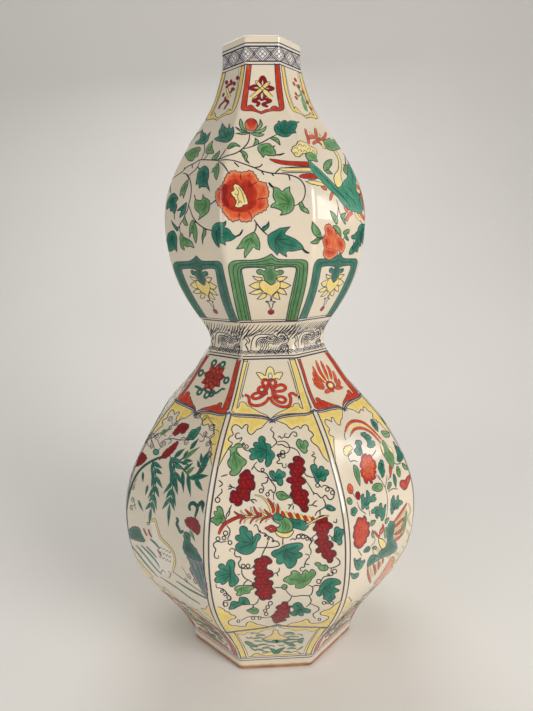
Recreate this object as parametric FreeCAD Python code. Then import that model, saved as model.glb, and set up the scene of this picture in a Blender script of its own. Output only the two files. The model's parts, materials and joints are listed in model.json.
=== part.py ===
"""An octagonal double gourd vase in porcelain, 480 mm tall, in millimetres.

The vase is press-moulded in sections with eight flat-sided facets, and the sections are stacked and luted:
a foot ring, a base slab, two halves for each bulb, a collar at the waist and a rim at the mouth.
Every outer section is a slice of one gourd form, so that the facets and the softened corners run on
across the joints, and every joint is a flat face. A fillet of luting clay is pressed into each joint from
the inside. The origin is the middle of the surface that the vase stands on, +Z is up, and one facet
faces -Y.
"""
import FreeCAD
import Part
import math
import os

Vector = FreeCAD.Vector

# The gourd's outline: where it is widest and narrowest, as heights above the table
# and apothems, which are the distances from the axis to the middle of a facet.
total_height = 480.0
foot_apothem = 68.0
lower_bulb_widest_height = 120.0
lower_bulb_apothem = 116.0
waist_height = 260.5
waist_apothem = 45.6
upper_bulb_widest_height = 349.0
upper_bulb_apothem = 76.0
neck_height = 457.0
neck_apothem = 31.2
mouth_apothem = 29.2

# How the outline swells between those places. Each pair is the share of the way up from one
# place to the next, and the share of the change in apothem that is made by then.
belly_shares = [(0.11, 0.055), (0.30, 0.287), (0.52, 0.642), (0.76, 0.915)]
shoulder_shares = [(0.205, 0.036), (0.41, 0.194), (0.613, 0.463), (0.69, 0.604), (0.77, 0.74),
                   (0.853, 0.849), (0.922, 0.943)]
bowl_shares = [(0.13, 0.125), (0.31, 0.45), (0.58, 0.815), (0.82, 0.965)]
crown_shares = [(0.15, 0.028), (0.325, 0.165), (0.545, 0.45), (0.77, 0.79)]

# The facets and their corners
facet_count = 8
section_spacing = 12.0
probe_spacing = 2.0
corner_radius_share = 0.085
inner_corner_radius_share = 0.22

# The clay
wall_thickness = 6.0
lip_rounding = 2.0
foot_ring_height = 12.0
foot_ring_width = 9.5
foot_bevel = 1.2
base_slab_thickness = 8.0
waist_collar_below = 11.3
waist_collar_above = 16.6
mouth_rim_height = 20.4

# The fillets of luting clay inside the joints
fillet_half_height = 6.5
fillet_crest = 2.6
fillet_edge = 0.7
floor_fillet_height = 9.0
floor_fillet_crest = 8.0
floor_fillet_middle_shares = (0.35, 0.36)

# How far a cutting tool runs past the clay that it cuts
overrun = 10.0

half_facet_angle = math.pi / facet_count
waist_collar_bottom = waist_height - waist_collar_below
waist_collar_top = waist_height + waist_collar_above
mouth_rim_bottom = total_height - mouth_rim_height
floor_height = foot_ring_height + base_slab_thickness


def stretch(start, end, shares):
    """Points of the outline from one (height, apothem) up to, but without, the next."""
    rise = end[0] - start[0]
    change = end[1] - start[1]
    return [start] + [(start[0] + rise * up, start[1] + change * out) for up, out in shares]


def outline_points():
    """(height, apothem) of the outside, from the table to the mouth."""
    foot = (0, foot_apothem)
    lower_bulb = (lower_bulb_widest_height, lower_bulb_apothem)
    waist = (waist_height, waist_apothem)
    upper_bulb = (upper_bulb_widest_height, upper_bulb_apothem)
    neck = (neck_height, neck_apothem)
    mouth = (total_height, mouth_apothem)
    return (stretch(foot, lower_bulb, belly_shares) + stretch(lower_bulb, waist, shoulder_shares)
            + stretch(waist, upper_bulb, bowl_shares) + stretch(upper_bulb, neck, crown_shares)
            + [neck, mouth])


def outline_curve():
    """The outside of a facet in the XZ plane, with X as the apothem."""
    curve = Part.BSplineCurve()
    curve.interpolate([Vector(apothem, 0, height) for height, apothem in outline_points()])
    return curve


def stations(curve, spacing):
    """Evenly spaced points of the outline, with the direction that points out of the clay."""
    count = max(2, round(curve.length() / spacing))
    places = []
    for step in range(count + 1):
        parameter = curve.parameterAtDistance(curve.length() * step / count)
        tangent = curve.tangent(parameter)[0]
        places.append((curve.value(parameter), Vector(tangent.z, 0, -tangent.x)))
    return places


def octagon(height, apothem, corner_radius):
    """A level outline of one section: straight facets joined by round corners."""
    corner_reach = apothem / math.cos(half_facet_angle)
    straight_half = apothem * math.tan(half_facet_angle) - corner_radius * math.tan(half_facet_angle)
    arc_reach = corner_reach - corner_radius / math.cos(half_facet_angle) + corner_radius
    edges = []
    for facet in range(facet_count):
        outward = 2 * half_facet_angle * facet - math.pi / 2
        corner = outward + half_facet_angle
        normal = Vector(math.cos(outward), math.sin(outward), 0)
        along = Vector(-math.sin(outward), math.cos(outward), 0)
        next_outward = outward + 2 * half_facet_angle
        next_normal = Vector(math.cos(next_outward), math.sin(next_outward), 0)
        next_along = Vector(-math.sin(next_outward), math.cos(next_outward), 0)
        lift = Vector(0, 0, height)
        start = normal * apothem - along * straight_half + lift
        end = normal * apothem + along * straight_half + lift
        next_start = next_normal * apothem - next_along * straight_half + lift
        middle = Vector(math.cos(corner), math.sin(corner), 0) * arc_reach + lift
        edges.append(Part.LineSegment(start, end).toShape())
        edges.append(Part.Arc(end, middle, next_start).toShape())
    return Part.Wire(edges)


def slab(bottom, top):
    """A block wider than the vase, to slice one section out of a longer form."""
    half = lower_bulb_apothem + upper_bulb_apothem
    return Part.makeBox(2 * half, 2 * half, top - bottom, Vector(-half, -half, bottom))


def outer_form(places):
    """The whole outside of the vase, as one solid."""
    wires = [octagon(point.z, point.x, point.x * corner_radius_share) for point, _ in places]
    return Part.makeLoft(wires, True, False)


def cavity_apothem(curve, height):
    """How far the inside of the wall is from the axis at a height."""
    inside = [point - outward * wall_thickness for point, outward in stations(curve, probe_spacing)]
    below = [place for place in inside if place.z <= height][-1]
    above = [place for place in inside if place.z > height][0]
    share = (height - below.z) / (above.z - below.z)
    return below.x + (above.x - below.x) * share


def cavity_form(places):
    """The hollow of the vase, one wall thickness in from the outside and open past the mouth."""
    wires = []
    for point, outward in places:
        inside = point - outward * wall_thickness
        wires.append(octagon(inside.z, inside.x, inside.x * inner_corner_radius_share))
    mouth_point, mouth_outward = places[-1]
    mouth = mouth_point - mouth_outward * wall_thickness
    top = octagon(mouth.z + overrun, mouth.x, mouth.x * inner_corner_radius_share)
    return Part.makeLoft(wires + [top], True, False)


def wall_section(outer, cavity, bottom, top):
    """One hollow section of the vase between two level joints."""
    return outer.common(slab(bottom, top)).cut(cavity)


def level_edges(shape, height):
    """The edges of a shape that lie at one height."""
    tolerance = 1e-4
    return [e for e in shape.Edges
            if abs(e.BoundBox.ZMin - height) < tolerance and abs(e.BoundBox.ZMax - height) < tolerance]


def foot_ring(outer):
    """The ring that the vase stands on, with both lower edges bevelled."""
    hole_apothem = foot_apothem - foot_ring_width
    hole_corner = hole_apothem * inner_corner_radius_share
    hole_face = Part.Face(octagon(-overrun, hole_apothem, hole_corner))
    hole = hole_face.extrude(Vector(0, 0, foot_ring_height + 2 * overrun))
    ring = outer.common(slab(0, foot_ring_height)).cut(hole)
    return ring.makeChamfer(foot_bevel, level_edges(ring, 0))


def base_slab(cavity):
    """The floor of the vase, inside the wall and on the foot ring's inner ledge."""
    return cavity.common(slab(foot_ring_height, floor_height))


def mouth_rim(outer, cavity):
    """The upright rim at the mouth, with a rounded lip."""
    rim = wall_section(outer, cavity, mouth_rim_bottom, total_height)
    return rim.makeFillet(lip_rounding, level_edges(rim, total_height))


def luting_fillet(curve, cavity, profile):
    """A bead of clay on the inside of a joint, as (height, how proud of the wall) from the bottom up."""
    wires = []
    for height, proud in profile:
        apothem = cavity_apothem(curve, height) - proud
        wires.append(octagon(height, apothem, apothem * inner_corner_radius_share))
    channel = Part.makeLoft(wires, True, False)
    return cavity.common(slab(profile[0][0], profile[-1][0])).cut(channel)


def write(name, shape):
    """Saves one piece under its node's name."""
    solid = shape.Solids[0] if len(shape.Solids) == 1 else shape
    print(f"{name}: valid {solid.isValid()}, solids {len(shape.Solids)}, {solid.Volume / 1000:.1f} cm3")
    solid.exportStep(f"parts/{name}.step")


def main():
    os.makedirs("parts", exist_ok=True)
    curve = outline_curve()
    places = stations(curve, section_spacing)
    outer = outer_form(places)
    cavity = cavity_form(places).cut(slab(-overrun, foot_ring_height))

    write("foot_ring", foot_ring(outer))
    write("base_slab", base_slab(cavity))
    write("lower_bulb_bottom", wall_section(outer, cavity, foot_ring_height, lower_bulb_widest_height))
    write("lower_bulb_shoulder", wall_section(outer, cavity, lower_bulb_widest_height, waist_collar_bottom))
    write("waist_collar", wall_section(outer, cavity, waist_collar_bottom, waist_collar_top))
    write("upper_bulb_bottom", wall_section(outer, cavity, waist_collar_top, upper_bulb_widest_height))
    write("upper_bulb_shoulder", wall_section(outer, cavity, upper_bulb_widest_height, mouth_rim_bottom))
    write("mouth_rim", mouth_rim(outer, cavity))

    middle_up, middle_proud = floor_fillet_middle_shares
    floor_cove = [(floor_height, floor_fillet_crest),
                  (floor_height + floor_fillet_height * middle_up, floor_fillet_crest * middle_proud),
                  (floor_height + floor_fillet_height, fillet_edge)]
    write("floor_luting_fillet", luting_fillet(curve, cavity, floor_cove))
    joints = [("lower_bulb", lower_bulb_widest_height), ("lower_waist", waist_collar_bottom),
              ("upper_waist", waist_collar_top), ("upper_bulb", upper_bulb_widest_height),
              ("neck", mouth_rim_bottom)]
    for name, joint_height in joints:
        bead = [(joint_height - fillet_half_height, fillet_edge), (joint_height, fillet_crest),
                (joint_height + fillet_half_height, fillet_edge)]
        write(f"{name}_luting_fillet", luting_fillet(curve, cavity, bead))


main()
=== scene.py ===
# %% [markdown]
# # A double gourd vase painted in enamels
# The vase is an octagonal gourd in white porcelain. It was pressed in sections, luted, glazed and fired, then
# painted in ink lines and coloured enamels and fired again. The enamels lie on the glaze as thin glassy pads.
# This lesson shapes the glazed sections, lays the painting on them touch by touch, and mixes the finishes.

import json
import math
import random

import bpy
import numpy as np
from mathutils import Matrix, Vector
from mathutils.bvhtree import BVHTree
from mathutils.geometry import delaunay_2d_cdt

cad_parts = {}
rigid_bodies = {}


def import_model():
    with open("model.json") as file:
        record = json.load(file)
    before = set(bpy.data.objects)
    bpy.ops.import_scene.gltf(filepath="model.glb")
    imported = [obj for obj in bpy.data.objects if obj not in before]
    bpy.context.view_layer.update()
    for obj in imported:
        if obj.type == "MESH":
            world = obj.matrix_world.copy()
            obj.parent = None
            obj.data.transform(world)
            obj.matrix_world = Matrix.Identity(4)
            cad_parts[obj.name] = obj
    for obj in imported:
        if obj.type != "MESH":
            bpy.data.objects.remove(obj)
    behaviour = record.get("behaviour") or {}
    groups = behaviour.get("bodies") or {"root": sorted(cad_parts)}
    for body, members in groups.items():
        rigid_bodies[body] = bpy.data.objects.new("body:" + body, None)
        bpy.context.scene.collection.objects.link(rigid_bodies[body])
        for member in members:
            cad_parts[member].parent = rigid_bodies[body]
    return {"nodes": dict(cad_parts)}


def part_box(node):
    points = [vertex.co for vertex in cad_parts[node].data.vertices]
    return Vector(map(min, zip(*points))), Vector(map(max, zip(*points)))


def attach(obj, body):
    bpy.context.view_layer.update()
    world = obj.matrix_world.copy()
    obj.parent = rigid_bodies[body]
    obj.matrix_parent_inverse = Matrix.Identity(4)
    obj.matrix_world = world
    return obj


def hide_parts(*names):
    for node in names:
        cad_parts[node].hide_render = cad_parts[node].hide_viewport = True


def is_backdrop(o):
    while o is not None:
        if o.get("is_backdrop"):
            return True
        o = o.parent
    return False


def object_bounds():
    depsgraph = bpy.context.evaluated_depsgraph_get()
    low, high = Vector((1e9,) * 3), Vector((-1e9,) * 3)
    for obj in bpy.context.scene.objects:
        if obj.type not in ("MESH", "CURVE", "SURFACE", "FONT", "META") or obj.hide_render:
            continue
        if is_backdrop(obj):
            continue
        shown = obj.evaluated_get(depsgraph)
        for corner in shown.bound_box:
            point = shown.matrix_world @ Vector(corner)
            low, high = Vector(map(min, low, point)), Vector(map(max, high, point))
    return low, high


for leftover in list(bpy.data.objects):
    bpy.data.objects.remove(leftover)
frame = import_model()
cad_low, cad_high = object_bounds()
bpy.ops.object.select_all(action="DESELECT")
MM = 0.001
FACETS = 8
HALF_TURN_OF_FACET = math.pi / FACETS
print("frame nodes:", len(frame["nodes"]), "height in mm:", round((cad_high.z - cad_low.z) / MM, 1))

# %% [markdown]
# ## The gourd's outline
# Every touch of paint has to lie on the clay, so the outline is read off the measured model by ray casts: at
# each height, how far the middle of a facet is from the axis. A painter measures along the clay, not straight
# up, so a second table gives the length along the facet from the foot. All lengths here are in millimetres.

# %% Read the outline off the model
OUTER_NODES = ["foot_ring", "lower_bulb_bottom", "lower_bulb_shoulder", "waist_collar",
               "upper_bulb_bottom", "upper_bulb_shoulder", "mouth_rim"]
ENAMEL_DEPTH = 0.5
CORNER_RADIUS_SHARE = 0.085
RAY_START_X, RAY_START_Y = 0.3, 0.0003
READINGS, TABLE_ROWS = 320, 1921


def read_apothem(trees, height):
    """Distance from the axis to the middle of the facet at a height."""
    start = Vector((RAY_START_X, RAY_START_Y, height * MM))
    hits = [tree.ray_cast(start, Vector((-1, 0, 0)))[0] for tree in trees]
    return max(hit.x for hit in hits if hit) / MM


graph = bpy.context.evaluated_depsgraph_get()
trees = [BVHTree.FromObject(frame["nodes"][name], graph) for name in OUTER_NODES]
vase_height = cad_high.z / MM
bevel_clearance, lip_clearance = 1.6, 2.6
read_heights = np.linspace(bevel_clearance, vase_height - lip_clearance, READINGS)
read_apothems = np.array([read_apothem(trees, h) for h in read_heights])
smoothing = np.array([1, 4, 6, 4, 1]) / 16
padded = np.concatenate([read_apothems[:1].repeat(2), read_apothems, read_apothems[-1:].repeat(2)])
smooth_apothems = np.convolve(padded, smoothing, mode="valid")
smooth_apothems[:2], smooth_apothems[-2:] = read_apothems[:2], read_apothems[-2:]
heights = np.linspace(0, vase_height, TABLE_ROWS)
first_slope = (read_apothems[1] - read_apothems[0]) / (read_heights[1] - read_heights[0])
apothems = np.interp(heights, read_heights, smooth_apothems)
apothems += np.where(heights < bevel_clearance, (heights - bevel_clearance) * first_slope, 0) - ENAMEL_DEPTH
slopes = np.gradient(apothems, heights)
lengths = np.concatenate([[0], np.cumsum(np.hypot(np.diff(heights), np.diff(apothems)))])
print("facet length in mm:", round(lengths[-1], 1), "widest apothem:", round(apothems.max(), 1))


def length_at(height):
    return float(np.interp(height, heights, lengths))


def apothem_at(height):
    return float(np.interp(height, heights, apothems))


def half_width_at(height):
    """Half of a facet's width with half of a rounded corner, measured round the clay."""
    apothem = apothem_at(height)
    radius = apothem * CORNER_RADIUS_SHARE
    return (apothem - radius) * math.tan(HALF_TURN_OF_FACET) + radius * HALF_TURN_OF_FACET


def half_width_along(along):
    """The same at a length along the clay."""
    return half_width_at(float(np.interp(along, lengths, heights)))


RIDGE_HEIGHT, RIDGE_WIDTH = 0.16, 3.2
upper_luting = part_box("upper_bulb_bottom")[1].z / MM


def ridge_at(height):
    """How far the faint luting ridge round the upper bulb stands out at a height."""
    return RIDGE_HEIGHT * np.exp(-((height - upper_luting) / RIDGE_WIDTH) ** 2)


def on_clay(facet, across, along, proud):
    """Points in the frame, in metres, of touches at (across, along) on facets, so far proud of the glaze.
    Facet 0 faces -Y and the next one lies to its right. A touch that passes a corner goes on round it."""
    facet, across, along, proud = (np.asarray(x, float) for x in (facet, across, along, proud))
    height = np.interp(along, lengths, heights)
    apothem = np.interp(along, lengths, apothems)
    slope = np.interp(along, lengths, slopes)
    proud = proud + ridge_at(height)
    radius = apothem * CORNER_RADIUS_SHARE
    straight = (apothem - radius) * math.tan(HALF_TURN_OF_FACET)
    half = straight + radius * HALF_TURN_OF_FACET
    steps = np.round(across / (2 * half))
    across = across - steps * 2 * half
    turn = (facet + steps) * 2 * HALF_TURN_OF_FACET - math.pi / 2
    past = np.clip(np.abs(across) - straight, 0, None) / radius * np.sign(across)
    flat = np.clip(across, -straight, straight)
    tilt = 1 / np.hypot(1, slope)
    outward = apothem - radius + (radius + proud * tilt) * np.cos(past)
    sideways = flat + (radius + proud * tilt) * np.sin(past)
    x = outward * np.cos(turn) - sideways * np.sin(turn)
    y = outward * np.sin(turn) + sideways * np.cos(turn)
    return np.stack([x, y, height - slope * tilt * proud], axis=-1) * MM


# %% [markdown]
# ## The camera
# The camera stands where the photograph was taken from: its place, tilt and focal length were fitted to the
# rings and corners that the octagon shows. It also serves as a ruler, because a point of the picture, cast
# back along its ray, says where on the clay a touch of paint lies.

# %% Set up the camera
PICTURE_WIDE, PICTURE_HIGH = 533, 711
FOCAL_PIXELS = 512.3
SENSOR_MM = 36.0
camera_place = Vector((-0.03754, -0.88921, 0.66780)) * vase_height
yaw, pitch, roll = (math.radians(a) for a in (2.421, 10.270, -1.085))
forward = Vector((math.sin(yaw) * math.cos(pitch), math.cos(yaw) * math.cos(pitch), -math.sin(pitch)))
level_right = Vector((math.cos(yaw), -math.sin(yaw), 0))
level_up = level_right.cross(forward)
right = math.cos(roll) * level_right + math.sin(roll) * level_up
up = -math.sin(roll) * level_right + math.cos(roll) * level_up
camera = bpy.data.objects.new("camera", bpy.data.cameras.new("camera"))
bpy.context.scene.collection.objects.link(camera)
camera.data.sensor_width = SENSOR_MM
camera.data.lens = FOCAL_PIXELS / PICTURE_HIGH * SENSOR_MM
camera.data.clip_start = 0.01
camera_turn = Matrix((right, up, -forward)).transposed().to_4x4()
camera.matrix_world = Matrix.Translation(camera_place * MM) @ camera_turn
bpy.context.scene.camera = camera
print("lens in mm:", round(camera.data.lens, 2))
STEPS_TO_THE_CLAY = 14
LEAST_FACING, NEAR_ENOUGH, OUT_OF_SIGHT = 0.05, 0.5, 1e6
RIGHT_FACET, LEFT_FACET = 1, 7


def seen_at(points, home=0):
    """(across, along) on the clay, from the middle of the home facet, of points of the picture."""
    points = np.atleast_2d(np.asarray(points, float)) - (PICTURE_WIDE / 2, PICTURE_HIGH / 2)
    eye = np.array(camera_place)
    rays = np.array(forward) * FOCAL_PIXELS + points[:, :1] * np.array(right) - points[:, 1:] * np.array(up)
    rays /= np.linalg.norm(rays, axis=1, keepdims=True)
    least, found = np.full(len(points), np.inf), np.zeros((len(points), 2))
    for facet in (home - 1, home, home + 1):
        turn = facet * 2 * HALF_TURN_OF_FACET - math.pi / 2
        outward, sideways = np.array((math.cos(turn), math.sin(turn), 0)), (-math.sin(turn), math.cos(turn),
                                                                            0)
        facing = np.minimum(rays @ outward, -LEAST_FACING)
        reach = (apothem_at(vase_height / 3) - eye @ outward) / facing
        for _ in range(STEPS_TO_THE_CLAY):
            place = eye + rays * reach[:, None]
            miss = place @ outward - np.interp(place[:, 2], heights, apothems)
            reach -= miss / (facing - np.interp(place[:, 2], heights, slopes) * rays[:, 2])
        across = place @ np.array(sideways)
        apothem = np.interp(place[:, 2], heights, apothems)
        half = apothem * ((1 - CORNER_RADIUS_SHARE) * math.tan(HALF_TURN_OF_FACET)
                          + CORNER_RADIUS_SHARE * HALF_TURN_OF_FACET)
        in_sight = (rays @ outward < -LEAST_FACING) & (np.abs(miss) < NEAR_ENOUGH)
        excess = np.where(in_sight, np.abs(across) - half, OUT_OF_SIGHT)
        better = excess < least
        along = np.interp(place[:, 2], heights, lengths)
        found[better] = np.stack([across + (facet - home) * 2 * half, along], axis=-1)[better]
        least = np.minimum(least, excess)
    return found


def right_side(points):
    return seen_at(points, RIGHT_FACET)


def left_side(points):
    return seen_at(points, LEFT_FACET)


KNOWN_PLACES = (("rim", (262, 44)), ("bulb", (270, 200)), ("waist", (268, 340)), ("foot", (275, 657)))
for label, point in KNOWN_PLACES:
    print(label, seen_at([point]).round(1)[0])

# %% [markdown]
# ## Finishes as expressions
# A finish is a chain of shader nodes. A small wrapper round a socket lets the chain be written as plain
# maths, so that a mask times a colour reads as it would on paper. Colours and vectors are mixed by Mix nodes.

# %% Wrap the shader nodes
class Wire:
    """One output of a node, with the maths that finishes use."""

    def __init__(self, finish, socket):
        self.finish, self.socket = finish, socket

    def maths(self, operation, *values):
        return self.finish.node("ShaderNodeMath", {"operation": operation}, *values)

    def __add__(self, other):
        return self.maths("ADD", self, other)

    def __radd__(self, other):
        return self.maths("ADD", other, self)

    def __sub__(self, other):
        return self.maths("SUBTRACT", self, other)

    def __rsub__(self, other):
        return self.maths("SUBTRACT", other, self)

    def __mul__(self, other):
        return self.maths("MULTIPLY", self, other)

    def __rmul__(self, other):
        return self.maths("MULTIPLY", other, self)

    def between(self, low, high):
        """0 at low and under, 1 at high and over, eased in between."""
        settings = {"interpolation_type": "SMOOTHSTEP"}
        return self.finish.node("ShaderNodeMapRange", settings, Value=self, From_Min=low, From_Max=high)


class Finish:
    """A material with a Principled shader, built node by node."""

    def __init__(self, name):
        self.material = bpy.data.materials.new(name)
        self.material.use_nodes = True
        self.tree = self.material.node_tree
        self.shader = next(n for n in self.tree.nodes if n.type == "BSDF_PRINCIPLED")

    def node(self, kind, settings=None, *values, output=0, **named):
        """Adds a node, sets it up, fills its sockets and returns one output as a Wire."""
        made = self.tree.nodes.new(kind)
        for key, value in (settings or {}).items():
            if key == "stops":
                while len(made.color_ramp.elements) < len(value):
                    made.color_ramp.elements.new(0.5)
                for element, (place, colour) in zip(made.color_ramp.elements, value):
                    element.position, element.color = place, (*colour, 1)
            else:
                setattr(made, key, value)
        for key, value in (*enumerate(values), *((k.replace("_", " "), v) for k, v in named.items())):
            self.fill(made.inputs[key], value)
        return Wire(self, made.outputs[output])

    def fill(self, socket, value):
        if isinstance(value, Wire):
            self.tree.links.new(value.socket, socket)
        else:
            socket.default_value = value

    def mix(self, share, first, second):
        """A colour between two, where each is a Wire or (r, g, b)."""
        made = self.tree.nodes.new("ShaderNodeMix")
        made.data_type = "RGBA"
        for key, value in ((0, share), (6, first), (7, second)):
            self.fill(made.inputs[key], (*value, 1) if isinstance(value, tuple) else value)
        return Wire(self, made.outputs[2])

    def place(self, scale=(1, 1, 1)):
        """The object's own coordinates in metres, stretched."""
        here = self.node("ShaderNodeTexCoord", None, output="Object")
        return self.node("ShaderNodeVectorMath", {"operation": "MULTIPLY"}, here, Vector(scale))

    def noise(self, size_mm, detail=3.0, scale=(1, 1, 1), roughness=0.5):
        """Cloudy noise from 0 to 1 whose patches are about so large."""
        return self.node("ShaderNodeTexNoise", None, Vector=self.place(scale), Scale=1 / (size_mm * MM),
                         Detail=detail, Roughness=roughness)

    def set(self, **named):
        for key, value in named.items():
            self.fill(self.shader.inputs[key.replace("_", " ")], value)

    def bump(self, height, depth_mm):
        """Turns heights from 0 to 1 into relief of that depth."""
        normal = self.node("ShaderNodeBump", None, Strength=1.0, Distance=depth_mm * MM, Height=height)
        self.set(Normal=normal)


# %% [markdown]
# ## The glaze
# The glaze is a warm, slightly uneven white, greyer in some patches and creamier in others. It carries faint
# iron specks, and its surface rolls gently, which is what makes reflections waver. The roll is a very shallow
# bump of large noise, shared by the enamels, so that the light runs on across the painting.

# %% Mix the glaze
GLAZE_WHITE = (0.765, 0.665, 0.515)
GLAZE_COOL = (0.69, 0.62, 0.495)
GLAZE_CREAM = (0.72, 0.585, 0.405)
BARE_CLAY = (0.42, 0.215, 0.105)
BURNT_EDGE = (0.20, 0.085, 0.04)
IRON_SPECK = (0.34, 0.24, 0.15)
ROLL_SIZE, ROLL_DEPTH = 26, 0.35
PEEL_SIZE, PEEL_SHARE = 1.8, 0.08
PATCH_SIZE, CREAM_SIZE = 55, 17
SPECKS_IN_A_METRE = 60.0


def rolling_surface(finish):
    """The slow waver of a hand-finished surface, with faint orange peel."""
    roll = finish.noise(ROLL_SIZE, detail=1.5)
    peel = finish.noise(PEEL_SIZE, detail=1.0)
    finish.bump(roll + peel * PEEL_SHARE, ROLL_DEPTH)


def glaze_colour(finish):
    patches = finish.noise(PATCH_SIZE, detail=4.0).between(0.35, 0.7)
    tone = finish.mix(patches, GLAZE_WHITE, GLAZE_COOL)
    cream = finish.noise(CREAM_SIZE, detail=5.0).between(0.56, 0.8) * 0.5
    tone = finish.mix(cream, tone, GLAZE_CREAM)
    specks = finish.node("ShaderNodeTexVoronoi", {"feature": "F1"}, Vector=finish.place(),
                         Scale=SPECKS_IN_A_METRE)
    return finish.mix((1 - specks.between(0.02, 0.045)) * 0.5, tone, IRON_SPECK)


def glazed(name):
    finish = Finish(name)
    rough = finish.noise(9, detail=4.0)
    finish.set(Base_Color=glaze_colour(finish), Roughness=rough.between(0.2, 0.9) * 0.07 + 0.09)
    finish.shader.inputs["Coat Weight"].default_value = 0.25
    finish.shader.inputs["Coat Roughness"].default_value = 0.06
    finish.shader.inputs["IOR"].default_value = 1.5
    rolling_surface(finish)
    return finish.material


glaze = glazed("warm_white_glaze")
print("glaze nodes:", len(glaze.node_tree.nodes))

# %% [markdown]
# ## The bare foot
# The foot was wiped clean of glaze so that it wouldn't stick to the kiln shelf, and the bare clay burnt to a
# rusty orange. The glaze ends above it in a slightly ragged line with a darker, burnt rim.

# %% Mix the foot
GLAZE_LINE, LINE_BLUR = 3.4, 0.25
RAGGED_REACH, BURNT_REACH = 2.2, 2.2
PALE_GRIT = (0.55, 0.34, 0.19)


def foot_finish():
    finish = Finish("wiped_foot")
    height = finish.node("ShaderNodeSeparateXYZ", None, finish.place(), output=2) * (1 / MM)
    ragged = height + (finish.noise(6, detail=4.0) - 0.5) * RAGGED_REACH
    covered = ragged.between(GLAZE_LINE - LINE_BLUR, GLAZE_LINE + LINE_BLUR)
    burnt = 1 - ragged.between(GLAZE_LINE, GLAZE_LINE + BURNT_REACH)
    grain = finish.noise(0.9, detail=6.0, roughness=0.65)
    clay = finish.mix(finish.noise(12, detail=5.0).between(0.3, 0.75), BARE_CLAY, BURNT_EDGE)
    clay = finish.mix(grain.between(0.45, 0.8) * 0.5, clay, PALE_GRIT)
    glazed_tone = finish.mix(burnt * 0.75, glaze_colour(finish), BARE_CLAY)
    finish.set(Base_Color=finish.mix(covered, clay, glazed_tone), Roughness=0.82 - covered * 0.66,
               Coat_Weight=covered * 0.25)
    finish.bump(finish.noise(ROLL_SIZE, detail=1.5) + grain * (1 - covered) * 0.3, ROLL_DEPTH)
    return finish.material


foot_clay = foot_finish()
print("foot nodes:", len(foot_clay.node_tree.nodes))

# %% [markdown]
# ## The glazed sections
# Each section is raised ring by ring, as by hand: an eight-cornered ring is laid down at the foot of the
# wall, extruded and resized up the outside, over the top and down the inside, and its last ring is bridged to
# its first. The corner edges are then bevelled round. The sections meet exactly ring on ring, so the glaze
# looks unbroken, apart from the faint luting ridge round the upper bulb.

# %% Shape a section
RING_SPACING = 2.4
WALL = 6.0
CORNER_STEPS = 6
INNER_CORNER_SHARE = 0.22
SHARP_DEGREES = 32


def outside(low, high):
    """(apothem, height) of rings up the outside of a wall, evenly spaced along the clay."""
    start, end = length_at(low), length_at(high)
    count = max(2, round((end - start) / RING_SPACING))
    rings = []
    for i in range(count + 1):
        height = float(np.interp(start + (end - start) * i / count, lengths, heights))
        rings.append((apothem_at(height) + float(ridge_at(height)), height))
    return rings


def inside_apothem(height):
    """Distance from the axis to the inside of the wall, one wall thickness in along its normal."""
    slope = float(np.interp(height, heights, slopes))
    return apothem_at(height) + ENAMEL_DEPTH - WALL * math.hypot(1, slope)


def inside(low, high):
    """Rings down the inside of a wall."""
    return [(inside_apothem(height), height) for _, height in reversed(outside(low, high)[::2])]


def select_edges(mesh, wanted):
    """Selects the edges of the mesh being edited whose two ends pass a test."""
    bpy.ops.object.mode_set(mode="OBJECT")
    for item in (*mesh.vertices, *mesh.edges, *mesh.polygons):
        item.select = False
    for edge in mesh.edges:
        a, b = (mesh.vertices[i].co for i in edge.vertices)
        edge.select = wanted(a, b)
    bpy.ops.object.mode_set(mode="EDIT")
    bpy.ops.mesh.select_mode(type="EDGE")


def raise_section(name, rings, wall=WALL):
    """A closed ring-shaped solid through rings of (apothem, height), with rounded corners."""
    reach = [apothem / math.cos(HALF_TURN_OF_FACET) for apothem, _ in rings]
    bpy.ops.object.select_all(action="DESELECT")
    bpy.ops.mesh.primitive_circle_add(vertices=FACETS, radius=reach[0] * MM,
                                      location=(0, 0, rings[0][1] * MM))
    section = bpy.context.object
    section.name = section.data.name = name
    bpy.ops.object.transform_apply(location=True, rotation=False, scale=False)
    bpy.ops.object.mode_set(mode="EDIT")
    bpy.ops.mesh.select_mode(type="EDGE")
    bpy.ops.mesh.select_all(action="SELECT")
    bpy.ops.transform.rotate(value=HALF_TURN_OF_FACET, orient_axis="Z", center_override=(0, 0, 0))
    for i in range(1, len(rings)):
        rise, grow = (rings[i][1] - rings[i - 1][1]) * MM, reach[i] / reach[i - 1]
        bpy.ops.mesh.extrude_edges_move(TRANSFORM_OT_translate={"value": (0, 0, rise)})
        bpy.ops.transform.resize(value=(grow, grow, 1), center_override=(0, 0, rings[i][1] * MM))
    bpy.ops.object.mode_set(mode="OBJECT")
    last = len(section.data.vertices) - FACETS
    for item in (*section.data.vertices, *section.data.edges, *section.data.polygons):
        item.select = False
    for edge in section.data.edges:
        edge.select = max(edge.vertices) < FACETS or min(edge.vertices) >= last
    bpy.ops.object.mode_set(mode="EDIT")
    bpy.ops.mesh.bridge_edge_loops()
    round_corners(section, CORNER_RADIUS_SHARE, lambda a,
                  b: wall_side(a, wall) > 0 and wall_side(b, wall) > 0)
    round_corners(section, INNER_CORNER_SHARE, lambda a, b: wall_side(a, wall) < 0 and wall_side(b, wall) < 0)
    bpy.ops.mesh.select_all(action="SELECT")
    bpy.ops.mesh.normals_make_consistent(inside=False)
    bpy.ops.object.mode_set(mode="OBJECT")
    return section


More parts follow.
